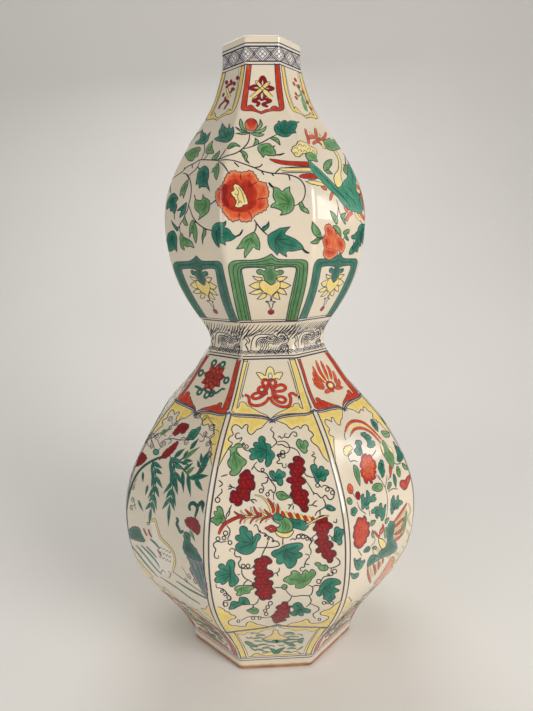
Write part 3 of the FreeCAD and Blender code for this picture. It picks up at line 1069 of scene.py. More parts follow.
CLEFTS = [[(241, 173.4), (240.6, 177), (241.6, 181)], [(257.6, 181.6), (254, 184), (250, 187)],
          [(267, 198.4), (262, 198.4), (257, 200)], [(251.6, 218.6), (250.6, 214.6), (247.6, 211)],
          [(239, 219.6), (239, 216), (240, 212.6)], [(221.6, 206), (225, 205.4), (228, 203)],
          [(217.6, 189.6), (221.6, 190), (225, 192)], [(223, 183.6), (226.6, 185.6), (229.6, 187.6)]]
INNER_PETALS = [[(230, 186.6), (233.4, 187), (234.4, 190), (232.6, 193.6), (229.6, 193.6), (228.4, 190)],
                [(231, 198.4), (234.8, 199.6), (235.8, 202.6), (234, 205.6), (230.6, 205), (229.2, 201.6)]]
branch_panel.fill("iron_red", scalloped(seen_at(GREAT_PEONY), 3.1, 1.3), 1, -0.15, 0.4, ink=0.45, spacing=1.6)
branch_panel.fill("iron_red", seen_at(BOWL), 1.6, 0.5, 0.75, ink=0, spacing=1.6)
for hollow in HOLLOWS:
    branch_panel.fill("iron_red", seen_at(hollow), 2.2, 0.75, 1.1, ink=0, spacing=1.5)
for cleft in CLEFTS:
    branch_panel.line(seen_at(cleft), 0.6, 2.6, "iron_red", tone=1.15, taper=0.7)
for petal in INNER_PETALS:
    branch_panel.fill("iron_red", seen_at(petal), 2.9, 0.55, 0.8, ink=0, spacing=1.5)
HEART = [(233.3, 185.2), (237.3, 184.6), (241, 188), (244.2, 192.7), (246.6, 198), (247.8, 204.3),
         (244, 204.8), (240.2, 207.6), (235, 206.4), (236.7, 201.8), (234.6, 198), (232.1, 195), (231, 192),
         (234.4, 190.4)]
branch_panel.fill("yellow", scalloped(seen_at(HEART), 2.6, 0.5), 3.6, 0.3, 0.4, ink=0.45)
HEART_LINES = ([(235.4, 187), (238.6, 192), (237.6, 197), (239.6, 203)],
               [(238, 187), (241.6, 192), (243.6, 198), (245, 203)],
               [(234.6, 193.6), (237, 195), (238.6, 194)], [(237.6, 205), (239.6, 201), (242, 203)])
for path in HEART_LINES:
    branch_panel.line(seen_at(path), 0.45, 4.4, tone=0.35)
print("points on the great peony:", len(GREAT_PEONY))

# %% Paint the phoenix of the upper bulb
phoenix = Panel("upper_bulb", LIKE_THE_RIGHT)
STREAMERS = [("iron_red", 0.6,
              [(269.6, 158.8), (285, 160.8), (300, 161.6), (308, 162), (308.6, 166.2), (295, 165.7),
               (284, 164.7), (275, 162.6)]),
             ("yellow", 0.3,
              [(280, 168.4), (296, 168), (311, 168.2), (313, 171.4), (297, 171.2), (284, 170.8)]),
             ("iron_red", 0.6,
              [(299, 176.4), (304, 174), (315, 174.4), (317.6, 178.6), (308, 178.6), (303, 178.2)]),
             ("yellow", 0.25, [(307, 181.4), (314, 181), (321, 182.4), (325, 186), (318, 185.4), (311, 184)]),
             ("iron_red", 0.3, [(321, 187), (324, 186), (327, 189), (325, 190.4)]),
             ("iron_red", 0.3, [(329.4, 199.6), (330.4, 194), (332.4, 191.6), (333, 195), (331, 200)])]
for colour, tone, outline in STREAMERS:
    phoenix.fill(colour, right_side(outline), 0.4, tone, tone + 0.15, ink=0.35, step=0.9, spacing=2)
STREAMER_LINES = ([(280, 168.2), (296, 167), (310, 167)], [(282, 172.4), (297, 172.6), (312, 172.8)],
             [(305, 181), (310, 183), (318, 186)], [(308, 179.6), (316, 180)])
for path in STREAMER_LINES:
    phoenix.line(right_side(path), 0.5, 0.3, tone=0.8)
CLOUD = [(292, 149), (293.5, 146.5), (296.5, 145), (298, 142), (301, 141), (304, 142.5), (307, 143.5),
         (309, 146), (312.5, 147.5), (316, 149.5), (316.7, 153), (314.5, 155), (310.5, 152.4), (307, 153.7),
         (303.5, 153.2), (301.5, 154.7), (298.5, 156.9), (295.5, 156), (294, 153.5), (291.9, 152)]
phoenix.fill("yellow", scalloped(right_side(CLOUD), 2.6, 0.6), 0.6, 0.3, 0.2, ink=0.45)
CLOUD_CURLS = ((296, 148), (300, 145), (304.6, 146), (309, 149), (313.4, 151.4), (300, 150.6), (305, 151),
               (296, 153))
for x, y in CLOUD_CURLS:
    phoenix.line(right_side([(x - 1.8, y + 1), (x - 0.4, y - 0.9), (x + 1.6, y), (x + 0.8, y + 1.6)]), 0.32,
                 1.4, tone=0.6)
BODY = [(308.5, 159.4), (313, 164), (319, 169), (325, 175), (330, 180), (334.5, 185), (338, 188), (342, 185),
        (344, 181), (347, 178), (347.6, 172), (348, 166), (348.2, 159.6), (351, 165), (354, 171),
        (355.5, 177), (356, 184), (356.2, 190), (360, 196), (362.5, 203), (362.6, 210), (360, 213.7),
        (355, 211.7), (351, 210.7), (346, 207.6), (341, 202), (337, 196.5), (331, 191), (326, 186),
        (321, 180.5), (316, 176), (312.3, 171.5), (310, 166)]
# The body's green is laid thin and pale. This is painted light: it stands in for the light from the right
# that falls on this side.
phoenix.fill("dark_green", scalloped(right_side(BODY), 3.0, 0.35), 1.3, 0.12, 0.32, ink=0.4)
for x, y, u, v in ((313, 167, 323, 177), (319, 173, 330, 184), (326, 180, 338, 194), (334, 188, 346, 201),
                   (350, 168, 353, 184), (352, 182, 357, 197), (344, 192, 357, 206), (346, 186, 354, 196),
                   (338, 193, 350, 206)):
    phoenix.line(right_side([(x, y), ((x + u) / 2 + 0.6, (y + v) / 2 - 0.8), (u, v)]), 0.5, 2.2, "dark_green",
                 tone=1.2)
NECK = [(333.8, 150.4), (336.6, 152), (339.6, 157.5), (341, 163.5), (341.2, 169), (340.6, 175), (341.6, 180),
        (342, 184), (340, 187), (337.5, 187.6), (335.3, 184.4), (333.8, 179.5), (334.6, 174.5),
        (337.6, 170.5), (338.6, 165), (337.8, 158.8), (335.3, 154)]
phoenix.fill("yellow", right_side(NECK), 2.4, 0.15, 0.25, ink=0.45)
RUFF = [(306.3, 154), (309.5, 152.3), (312.5, 153.4), (316.2, 155.4), (316, 158), (317.6, 161.6),
        (312, 160.4), (309.5, 160.8), (307.2, 158.5)]
phoenix.fill("light_green", scalloped(right_side(RUFF), 2.2, 0.6), 1.7, 0.35, 0.5, ink=0.4)
HEAD = [(323.5, 141), (327, 139.5), (330, 138.3), (331.5, 140.5), (335, 139.6), (338, 143), (340.4, 147.6),
        (337, 149.5), (333, 150.5), (329, 149.8), (326, 148), (324.3, 145.5)]
BEAK = [(319.6, 140), (323, 141), (326.4, 147.6), (324, 148.4), (321, 145)]
phoenix.fill("yellow", right_side(BEAK), 1.5, 0.2, 0.2, ink=0.35)
phoenix.fill("light_green", scalloped(right_side(HEAD), 2.6, 0.7), 1.7, 0.3, 0.55, ink=0.45)
HEAD_LINES = ([(326, 142), (328, 145.6), (331, 148)], [(330, 141), (331.6, 144.6), (334.6, 147.4)],
             [(334.4, 141.6), (335.6, 144.4), (338, 146.6)], [(310, 154.6), (312, 157), (314.6, 158.6)])
for path in HEAD_LINES:
    phoenix.line(right_side(path), 0.6, 2.6, "dark_green", tone=0.5, taper=0.5)
CREST = (([(305.4, 129), (306.4, 134), (308, 139), (308.8, 144)], 2.6),
         ([(307.6, 137.8), (313, 137), (317, 138.5), (322.6, 139.6)], 3.2),
         ([(315.4, 128.4), (315.6, 134), (316.8, 139)], 2.6), ([(326, 132.6), (324, 138), (319, 140)], 2.3),
         ([(312.6, 144), (317, 141.6), (322, 145)], 2.2))
for path, width in CREST:
    phoenix.line(right_side(path), width, 1.9, "iron_red", tone=0.4, taper=0.3, edged=0.22)
CREST_TIPS = ([(310.4, 135.6), (310.6, 132.4), (313.4, 135.4)], [(318.4, 137), (318.4, 132.6), (321.4, 137)])
for path in CREST_TIPS:
    phoenix.line(right_side(path), 1.5, 1.5, "yellow", tone=0.2, edged=0.2)
WING_FEATHERS = (("yellow", [(355.6, 177.6), (358, 180), (359.6, 184.6)]),
                 ("iron_red", [(355, 185), (358, 187), (361, 190)]),
                 ("yellow", [(355, 189), (358.4, 192), (361, 196.4)]),
                 ("iron_red", [(359.4, 193.4), (361.6, 197.6), (363.4, 203)]),
                 ("iron_red", [(344, 205), (345.6, 208.6), (348, 212)]),
                 ("iron_red", [(352.6, 212.6), (348.4, 215.6), (346.4, 221.4)]),
                 ("yellow", [(354.8, 211.6), (357, 216), (360, 220)]),
                 ("iron_red", [(360.4, 213), (362.6, 216.6), (365, 220)]))
for colour, path in WING_FEATHERS:
    phoenix.line(right_side(path), 3.0, 1.0, colour, tone=0.3, taper=0.4, edged=0.24)
print("feathers in the tail:", len(STREAMERS))

# %% Paint the leaves and the low peony beside the phoenix
PHOENIX_LEAVES = [("light_green", 2,
                   [(329, 170), (327, 169.5), (325, 171.4), (323.4, 168.5), (324.2, 163.5), (327.5, 160.3),
                    (331.8, 159.6), (331.8, 159.6), (331.6, 164.5), (329, 168.5)]),
                  ("light_green", 1,
                   [(327, 170), (329.4, 170.4), (332.4, 174), (332.4, 174), (328, 173.8), (325.4, 171.6)]),
                  ("light_green", 1, [(345, 164.6), (347.7, 170), (347.2, 174.9), (344, 172), (343.4, 169)]),
                  ("light_green", 2,
                   [(337, 224), (334.4, 222), (332, 217.5), (330, 210.8), (330, 210.8), (334, 213.4),
                    (337.2, 218)]),
                  ("light_green", 2,
                   [(345.4, 224.4), (342.4, 220.6), (340.3, 216), (342, 213.8), (346, 213), (346, 213),
                    (344.2, 217)]),
                  ("light_green", 3,
                   [(321.7, 238.4), (318, 237.6), (314.4, 234.6), (311.8, 229), (312.4, 222), (312.4, 222),
                    (316.2, 225.8), (319.7, 230.5), (321.3, 235.6)]),
                  ("light_green", 2,
                   [(323.7, 237.3), (320, 240), (318, 243.2), (314.5, 243.8), (310.6, 242.6), (310.6, 242.6),
                    (314.5, 240), (318, 237.5)]),
                  ("light_green", 2,
                   [(333, 225.8), (337.5, 226.3), (340.7, 231), (341, 237.5), (341, 237.5), (338, 233),
                    (336.4, 234), (334.8, 230)]),
                  ("light_green", 2,
                   [(344.4, 235), (342.8, 232.6), (345.5, 230.3), (348.8, 229.2), (349.2, 232.5),
                    (346.5, 234.5), (348, 238), (348.8, 241), (348.8, 241), (345.4, 238.6)]),
                  ("dark_green", 4,
                   [(349, 254), (350.5, 248.5), (354, 243.5), (355.6, 239.6), (352, 238.6), (351.3, 236),
                    (354.5, 234.4), (357, 231.7), (359.7, 233), (359, 236.5), (361.2, 239.5), (360.7, 244),
                    (358.6, 247.5), (357, 252.4), (355.4, 250.5), (353, 253.6)])]
foliage(phoenix, PHOENIX_LEAVES, right_side)
LOW_STEMS = ([(336, 225), (337.6, 214), (338, 205), (336, 199)], [(341, 216), (339, 210), (338, 205)],
             [(357, 216), (361, 222), (363, 230)], [(345, 236), (343, 240)], [(323, 238), (325, 238.6)])
for path in LOW_STEMS:
    phoenix.line(right_side(path), 0.6, tone=0.7)
LOW_PEONY = [(324.5, 229), (325.5, 225.5), (329, 224), (331.5, 226.5), (334, 229), (336.5, 232), (339, 234),
             (341, 238), (343.5, 240.5), (345, 244), (344.5, 248.5), (342.5, 252.5), (340.5, 253.5),
             (338.5, 250), (336.4, 250.5), (338, 253), (336, 256), (333, 257.5), (331.5, 259), (328.5, 259.8),
             (325.5, 258), (323.5, 255.5), (323, 252), (324.3, 249.5), (324, 246), (322.8, 241.5), (323, 237),
             (325, 234.5), (325.5, 231.5)]
phoenix.fill("iron_red", scalloped(right_side(LOW_PEONY), 2.4, 0.5), 1, -0.1, 0.25, ink=0.45, spacing=1.8)
LOW_PETALS = ([(325, 250), (328, 248.6), (332, 249), (336, 250.4), (335, 254), (331, 256), (327, 255.6),
               (324.8, 253)], [(324.4, 236.4), (327, 237), (329, 241), (329, 246), (326, 247), (324.2, 242)],
              [(338, 238), (341.4, 240.6), (343.4, 245), (341.4, 249), (338.6, 247), (337, 242)],
              [(327, 227), (330, 228), (333, 232), (332, 236), (328.6, 234), (326.6, 230.6)])
for outline in LOW_PETALS:
    phoenix.fill("iron_red", scalloped(right_side(outline), 2.6, 0.4), 1.7, 0.2, 0.7, ink=0.22, spacing=1.5)
print("leaves by the phoenix:", len(PHOENIX_LEAVES))

# %% Paint the scrolling leaves
scroll = Panel("upper_bulb", LIKE_THE_LEFT[::-1])
SCROLL_STEMS = [[(217, 160.5), (210, 160), (200, 160), (194, 163.5), (187, 167), (182, 172), (176, 176),
                 (172, 179)], [(200, 161), (197, 168), (190, 174.5), (187.6, 176.4)],
                [(183, 173), (187, 174.4), (190, 180), (191.3, 188), (190.6, 197), (188.6, 205), (187.5, 210),
                 (185, 215), (183, 220), (180, 225), (180, 231), (182, 236)],
                [(188.8, 205), (190.4, 210), (193, 217), (198, 223.5), (205, 228.5), (212, 230.6)],
                [(197, 167), (200.6, 169.4)], [(204.5, 143.5), (204.5, 151), (201, 160)],
                [(209, 153), (206, 157), (203, 160)], [(211, 172.5), (215, 170), (217.6, 163)],
                [(170, 184), (170.6, 193)], [(192, 164.6), (192.6, 168)], [(184, 170), (185, 167)],
                [(216.4, 199.6), (213, 202.4), (209.8, 204.6)], [(180, 226), (177.6, 229)],
                [(198, 223), (194, 221.6)], [(174.4, 213), (174.6, 219.6)], [(194.4, 194.6), (195.6, 200)],
                [(186, 173.6), (188.6, 178), (188, 181)]]
for stem in SCROLL_STEMS:
    scroll.line(left_side(stem), 0.75, tone=0.8)
SCROLL_LEAVES = [("dark_green", 5,
                  [(226, 142.4), (221, 141.6), (217, 140.6), (214.6, 138.6), (219, 136), (219, 131),
                   (221, 127.5), (222.3, 123.4), (222.3, 123.4), (225, 127), (228, 128.5), (229.3, 123.9),
                   (229.3, 123.9), (230.4, 129), (233, 126.8), (233, 126.8), (233.9, 132), (232.9, 137),
                   (229.6, 141)]),
                 ("dark_green", 4,
                  [(204, 144), (200, 144), (196, 144), (195.8, 142), (199, 140), (200.5, 137), (201, 133),
                   (202.4, 129.4), (202.4, 129.4), (203, 132.5), (205.6, 133.5), (206.8, 136.5), (208, 134.5),
                   (210.7, 131.9), (210.7, 131.9), (209, 137), (207.5, 141)]),
                 ("light_green", 4,
                  [(199.4, 147.4), (200.6, 150), (198.5, 152.5), (198, 156), (195, 157.5), (193, 160.7),
                   (189, 160.5), (186.5, 157.5), (185, 153.8), (188, 152), (191, 149.5), (195, 148)]),
                 ("light_green", 3,
                  [(209.5, 153.4), (206, 153.2), (206.4, 149.5), (208, 145.5), (210, 143.5), (212.8, 140.8),
                   (212.8, 140.8), (212, 146), (213, 150), (213.8, 153.4)]),
                 ("light_green", 1,
                  [(212, 159.4), (213, 156.8), (216, 153.8), (219.8, 150.8), (219.8, 150.8), (219, 155),
                   (216.5, 159)]),
                 ("dark_green", 5,
                  [(205, 166.2), (208, 168.5), (208.8, 173), (208.5, 178), (207.4, 182), (208.4, 186),
                   (209.8, 191), (209.8, 191), (206.5, 187), (204, 186.8), (201, 187), (199.3, 188.4),
                   (198.5, 183.4), (196, 184.6), (197, 178), (197.8, 173), (200, 169), (202.5, 167)]),
                 ("light_green", 2,
                  [(218, 162.8), (219.2, 167.5), (218.8, 173), (216.6, 180), (216.6, 180), (214.6, 176),
                   (214, 171), (212.2, 169.6), (215.5, 166.5)]),
                 ("light_green", 2,
                  [(188, 180), (187.6, 186), (185.5, 192), (183.6, 198), (183.6, 198), (182.3, 194),
                   (180, 196.2), (181, 189.5), (184, 184)]),
                 ("dark_green", 5,
                  [(174, 193.2), (176.8, 196), (178.2, 199), (176, 202), (177, 206.5), (176, 210),
                   (174.6, 214.4), (174.6, 214.4), (172, 210.5), (170.5, 211.4), (169.5, 207), (167, 209.6),
                   (166.8, 204.5), (168.3, 199.5), (170.5, 195.5)]),
                 ("light_green", 5,
                  [(210, 204.4), (209.6, 201), (207, 198.8), (204, 197), (202.9, 194), (202.9, 194),
                   (202.6, 198.5), (200.6, 200.6), (197.5, 200), (195.1, 200.3), (194.6, 205), (195.2, 209),
                   (198, 212), (200, 214), (198.9, 219.8), (198.9, 219.8), (203, 216.5), (207, 213.5),
                   (209.2, 210)]),
                 ("dark_green", 2,
                  [(186.7, 202.6), (186, 209), (184.5, 213.5), (179.8, 217.8), (179.8, 217.8), (180.3, 214),
                   (181.8, 210.6), (177, 210.8), (177, 210.8), (181, 207), (184, 204.5)]),
                 ("light_green", 1,
                  [(184.8, 216.6), (186.2, 220.5), (188.2, 225.4), (185, 224.7), (183.3, 221.5)]),
                 ("light_green", 3,
                  [(193, 220.2), (195.6, 224.5), (197.1, 230), (197.1, 237), (196, 243.4), (196, 243.4),
                   (193.8, 238), (192.6, 232.4), (191, 233.4), (189.6, 237.6), (189.6, 237.6), (189.6, 230),
                   (190.5, 224)]),
                 ("dark_green", 1,
                  [(178.2, 228.4), (177.6, 231.2), (174.5, 227.6), (171.6, 221), (171.6, 221), (175, 225)]),
                 ("light_green", 2,
                  [(203.5, 227.8), (206.1, 230.5), (205.6, 235), (203.6, 238), (202.7, 243.8), (202.7, 243.8),
                   (201.9, 237), (203.1, 232)]),
                 ("dark_green", 5,
                  [(173, 230.8), (175.6, 233.5), (177.1, 238.5), (176.9, 245), (177.2, 251.6), (177.2, 251.6),
                   (174.5, 249), (172, 250.7), (169, 251.2), (168, 247), (166.8, 243.5), (165.6, 240.5),
                   (167.3, 237.5), (168.4, 233.5)]),
                 ("light_green", 4,
                  [(181.5, 233.2), (184, 237), (188.5, 239.4), (192.2, 242.5), (194.2, 248), (194.2, 248),
                   (190, 246.3), (186.5, 246.6), (184, 244.6), (184.5, 249.8), (184.5, 249.8), (181.4, 248),
                   (180.2, 242), (179.9, 237)])]
foliage(scroll, SCROLL_LEAVES, left_side)
print("scroll leaves:", len(SCROLL_LEAVES))

# %% [markdown]
# ## The lappets
# Eight green frames with a pointed top stand round the foot of the upper bulb, light and dark green by turns.
# From the top of each hangs a curled green head over a yellow heart with flame-like petals, above a red dot.

# %% Paint the lappet frames
OUTER_SIDE = [(239, 320.3), (235.5, 305), (231.5, 285), (228.8, 270), (229.2, 264.5), (232.5, 261.5),
              (238, 260.5), (255, 260), (262, 258.5), (268, 256), (271.2, 253.6)]
OUTER_BACK = [(271.2, 253.6), (274, 256.5), (279, 259.4), (290, 259.8), (303, 259.8), (307, 262),
              (307.8, 266), (306.5, 280), (303.5, 295), (300, 308), (297, 320.3)]
INNER_SIDE = [(286, 320.3), (289.3, 303), (293.2, 285), (296, 272), (295.8, 267.8), (291.5, 266.8),
              (285, 267), (279, 267.8), (275, 268.6), (271.2, 268.8)]
INNER_BACK = [(271.2, 268.8), (266, 268.6), (262, 267.8), (255, 267.3), (246, 267.8), (241.8, 269.3),
              (242.3, 275), (245, 290), (248, 305), (251, 320.3)]
frame_outline = [OUTER_SIDE[0]] + OUTER_SIDE + OUTER_BACK + [OUTER_BACK[-1], INNER_SIDE[0]]
frame_outline += INNER_SIDE + INNER_BACK + [INNER_BACK[-1]]
outer_line = even_steps(seen_at(OUTER_SIDE + OUTER_BACK), 1.0)
inner_line = even_steps(seen_at((INNER_SIDE + INNER_BACK)[::-1]), 1.0)
shares = np.linspace(0, 1, 60)


def at_the_shares(line):
    """The line smoothed, with one point at each of the shares of its length."""
    line = flowing(line, 1.0)
    return np.stack([np.interp(shares, np.linspace(0, 1, len(line)), line[:, i]) for i in (0, 1)], -1)


outer_line, inner_line = at_the_shares(outer_line), at_the_shares(inner_line)
for places, colour, inks in ((EVEN, "light_green", (0.3, 0.62, 0.84)), (ODD, "dark_green", (0.45,))):
    lappet = Panel("upper_bulb", places, drifts=False)
    lappet.fill(colour, seen_at(frame_outline), 0, 0.45, 0.7, ink=0.6, spacing=2.4)
    for share in inks:
        lappet.line(outer_line * (1 - share) + inner_line * share, 0.55, 0.5, "dark_green", tone=1.1,
                    taper=0.1)
print("lappets:", FACETS)

# %% Paint what hangs in the lappets
CURLED_HEAD = [(266, 266), (266.5, 269), (264, 271), (260, 269.3), (257.5, 269.8), (256.5, 272), (259, 274.3),
               (262.5, 274.8), (263.8, 277), (265, 280), (268, 282.5), (271.2, 284.3), (271.2, 284.3),
               (274, 282.3), (276.3, 279), (276.8, 275.5), (281, 274.6), (283.8, 272.3), (282, 270.3),
               (278.5, 270.5), (275.5, 271.3), (274.5, 269), (275, 266)]
YELLOW_HEART = [(262.8, 280), (267, 282.5), (271.2, 285.2), (275, 283), (278.5, 280.8), (280.2, 284),
                (279.3, 288), (275.5, 292), (272.4, 295), (271.3, 298), (270, 295), (264, 292), (260.5, 288),
                (259.3, 284)]
HEART_PETALS = [[(262, 277.8), (257, 277), (252.8, 276), (252.8, 276), (256, 279.7), (260.8, 280.5)],
                [(259.5, 282.3), (255, 282.6), (249.3, 285.5), (249.3, 285.5), (255, 288.7), (260, 288)],
                [(260.5, 289.8), (255.5, 290.3), (249, 293.3), (249, 293.3), (256, 294.5), (262.4, 292)],
                [(263, 293.3), (260, 296), (257, 299), (257, 299), (263, 298.7), (267, 295)],
                [(277, 278.5), (281, 276.5), (287.5, 277), (287.5, 277), (283, 280.5), (279, 281.2)],
                [(280.5, 281.8), (285.5, 282.8), (290.8, 285.3), (290.8, 285.3), (285.5, 288.3),
                 (280.3, 287.5)],
                [(279.3, 288.3), (283.8, 289.8), (286.8, 294.7), (286.8, 294.7), (281, 293.7), (277.3, 291)],
                [(273.6, 295), (277.5, 292.3), (280, 299.3), (280, 299.3), (276, 298.7), (273, 296.8)]]
hanging = Panel("upper_bulb", EVERY)
for petal in HEART_PETALS:
    hanging.fill("yellow", seen_at(petal), 0.4, 0.3, 0.5, ink=0.5, step=0.7, spacing=2)
hanging.fill("yellow", seen_at(YELLOW_HEART), 1.1, 0.35, 0.5, ink=0.35)
for places, colour in ((EVEN, "light_green"), (ODD, "dark_green")):
    Panel("upper_bulb", places).fill(colour, seen_at(CURLED_HEAD), 2.0, 0.45, 0.85, ink=0.5, spacing=2)
TASSEL = ([(270.4, 297.5), (270.6, 301), (265.3, 301.3), (268.5, 303), (269.6, 306.5), (270.9, 309)],
          [(272, 297.5), (271.9, 301), (276, 301.7), (273.3, 303), (272.6, 306.5), (271.1, 309)])
for path in TASSEL:
    hanging.line(seen_at(path), 0.6, 0.6, tone=0.8)
hanging.fill("crimson", circle(seen_at([(271, 312)])[0], 2.2, 18), 0.6, 0.3, 0.6, ink=0.4, step=0.8)
print("petals in a lappet:", len(HEART_PETALS))

# %% [markdown]
# ## The waist
# The waist carries crashing waves in grey ink only: slanting spray above, one big rolling crest to a facet
# drawn as arcs inside arcs, a smaller one beside it, and ripples at the bottom. All arcs come from one short
# function.

# %% Paint the waves
WAIST_LINES = ((313.2, 0.5), (311.3, 0.95), (282.9, 0.7), (280.7, 0.95))
for along, width in WAIST_LINES:
    around("waist", along, width, tone=0.65)
waves = Panel("waist", EVERY)


def arcs(centre, radii, start, stop, width=0.6):
    """Arcs round one centre, from one angle to another in degrees."""
    for i, radius in enumerate(radii):
        turns = np.radians(np.linspace(start + i * 4, stop - i * 5, 12))
        path = np.stack([np.cos(turns) * radius, np.sin(turns) * radius], axis=-1) + centre
        waves.line(path, width, 0, tone=0.8, taper=0.5, step=0.7)


half = half_width_at(262)
SPRAY = [[(240, 324), (237.5, 329), (233, 335)], [(243.5, 324), (241, 329), (237, 334.5)],
         [(247.6, 324), (244.6, 328.6), (240.5, 333.2)], [(251, 324.2), (247.4, 329.4), (241.6, 336)],
         [(254.8, 324), (250.4, 330), (243.4, 337.4)],
         [(259, 324.4), (255.4, 329.4), (248, 335.4), (243, 338.4)],
         [(263.4, 325.4), (258.6, 330), (252, 334.6), (246.6, 337.6)],
         [(266.8, 325), (261.6, 330.2), (255, 333.8), (249.6, 337)],
         [(271.4, 324.4), (266, 329.6), (260.4, 333.4)], [(274.6, 325.4), (270, 329.6), (264.6, 333.4)],
         [(278.6, 325.2), (273.4, 330), (268, 333.6)], [(282.6, 325), (277.4, 330.4), (272, 333.8)],
         [(286, 325.4), (281.6, 330.2), (276.4, 334.6)], [(289.6, 325), (285, 330), (280, 333.4)],
         [(293, 324.6), (289.4, 329.6), (284.4, 333.8)], [(296, 324.8), (292.6, 330), (287, 336)],
         [(299.4, 324.6), (295, 331), (289.6, 337.8)], [(301, 327), (297, 333), (292, 339)]]
for k, path in enumerate(SPRAY):
    waves.line(seen_at(path), 0.6 + 0.3 * (k > 11), 0, tone=0.85, taper=0.6)
SWELLS = [[(250.8, 351), (251.2, 344), (253, 338.6), (256, 335.4), (261, 334.2), (268, 334.4), (273, 334.6),
           (276.6, 337.4)],
          [(256.4, 347.6), (256, 343), (257.4, 339.4), (260.4, 337.6), (265, 337.4), (270, 338.4),
           (274, 340.6)],
          [(276.4, 337), (279, 333.4), (282.4, 332.6), (285.6, 334.6), (288, 338.4), (288, 342),
           (285.4, 343.4)], [(279.6, 337), (282, 335.4), (284.6, 337), (286, 340)],
          [(281.6, 340), (283.6, 338.4), (285, 340.4), (283.6, 342)],
          [(244.4, 338), (247.4, 341.4), (245.6, 345), (247.4, 348.4), (248.6, 351.6), (251.4, 352.4)],
          [(247, 337), (249.6, 340), (248.4, 344)],
          [(286.6, 344.6), (288.4, 348), (287.4, 351), (289, 354.4)]]
for path in SWELLS:
    waves.line(seen_at(path), 0.72, 0.2, tone=0.85, taper=0.4)
for k in range(11):
    x = 258.6 + k * 2.5
    waves.line(seen_at([(x + 3.4, 347 - abs(k - 5) * 0.35), (x + 1, 350.6), (x - 2.4, 354.4)]), 0.5, 0,
               tone=0.8, taper=0.6)
for x, y, sizes in ((270.6, 345.6, (2.0, 3.4, 4.8, 6.2, 7.6)), (280.6, 343.6, (1.5, 2.8, 4.1, 5.4)),
                    (262.6, 344.6, (1.6, 2.9, 4.2)), (284.6, 348.6, (1.2, 2.4, 3.6))):
    arcs(seen_at([(x, y)])[0], sizes, 15, 205)
FOAM_CURLS = ((12.8, 297.6), (14.4, 295.6), (-13.5, 299.6), (5.6, 302.6), (16.8, 299.4), (-6.4, 302.6))
for x, y in FOAM_CURLS:
    waves.line([(x - 1.6, y - 0.8), (x, y + 1.0), (x + 1.4, y + 0.2), (x + 0.8, y - 0.8)], 0.5, 0.4,
               tone=0.85)
for k in range(10):
    arcs((-half + 1.6 + k * 2 * half / 10, 284.0 + 0.5 * (k % 2)), (0.9, 2.0, 3.1), 15, 165, 0.5)
print("strokes on a wave panel:", waves.touches)

# %% [markdown]
# ## The shoulder panels
# Below the waist each facet has a sloping panel in a yellow or red frame, which ends in scalloped corners and
# a point. They hold lucky emblems by turns: an endless knot under a cloud, a flaming pearl, and a lotus.

# %% Paint the shoulder frames
SHOULDER_BAR = [(243.4, 361.4), (243.4, 361.4), (238, 385), (232, 409), (232.5, 411.6), (236, 413.4),
                (252.4, 414.4), (262, 415.4), (269.8, 418.2), (269.8, 418.2), (265.8, 415), (260, 412.6),
                (256.2, 410.3), (252.4, 408.3), (249.5, 406), (247.3, 406.2), (246.2, 403.6), (243, 401.8),
                (239.9, 402.8), (239, 406.6), (239, 406.6), (236.8, 408), (236.8, 408), (241, 388),
                (247.4, 361.4), (247.4, 361.4)]
SHOULDER_FAR_BAR = [(295, 359.8), (295, 359.8), (303, 385), (310.6, 408.5), (310, 411), (307, 413),
                    (290.7, 413.6), (280, 414.8), (271.6, 418.2), (271.6, 418.2), (277, 413.6), (282, 411.2),
                    (286.8, 409), (290.7, 406.8), (292.8, 406.8), (293.8, 404.3), (296.6, 403.2), (299, 404),
                    (300.3, 407.4), (300.3, 407.4), (303, 408.6), (303, 408.6), (297.5, 388), (289.6, 359.8),
                    (289.6, 359.8)]
for places, colour in ((EVEN, "yellow"), (ODD, "iron_red")):
    shoulder = Panel("waist", places, drifts=False)
    for bar in (SHOULDER_BAR, SHOULDER_FAR_BAR):
        shoulder.fill(colour, seen_at(bar), 0, 0.45 if colour == "iron_red" else 0.3, 0.6, ink=0.45,
                      spacing=2.4)
INNER_BARS = ([(249.3, 362), (244, 384), (239.8, 400)], [(287.6, 361), (294, 382), (299, 400)])
for path in INNER_BARS:
    Panel("waist", EVEN, drifts=False).line(seen_at(path), 0.55, 0.2, tone=0.4)
    Panel("waist", EVEN, drifts=False).line(seen_at(path) * (0.955, 1), 0.4, 0.2, "yellow", tone=0.3)
SHOULDER_EDGE = [(-31.0, 239.2), (-26.4, 237.0), (-15.7, 236.0), (-7.2, 234.9), (-3.2, 233.5), (-0.2, 231.6),
                 (-0.2, 231.6), (2.8, 233.3), (7, 234.8), (15, 235.9), (25, 236.4), (31.0, 239.2)]
edge = Panel("waist", EVERY, drifts=False)
edge.line(SHOULDER_EDGE, 0.95, 0.6, tone=0.55, taper=0.05)
edge.line(np.array(SHOULDER_EDGE) * (0.985, 1) - (0, 1.5), 0.7, 0.6, tone=0.45, taper=0.05)
edge.line([(-2.2, 229.4), (0, 231.4), (2.2, 229.4)], 0.8, 0.7, tone=0.6)


def corner_lines(band, low, high, inset, width, tone):
    """The two lines beside every corner, from one length along the clay to another."""
    border = Panel(band, EVERY, drifts=False)
    places = np.linspace(low, high, 24)
    reach = np.array([half_width_along(along) for along in places]) - inset
    for side in (-1, 1):
        border.line(np.stack([side * reach, places], axis=-1), width, 0.2, tone=tone, taper=0.05)


corner_lines("waist", 240.5, 280.2, 1.3, 0.6, 0.5)
print("shoulder panels:", FACETS)

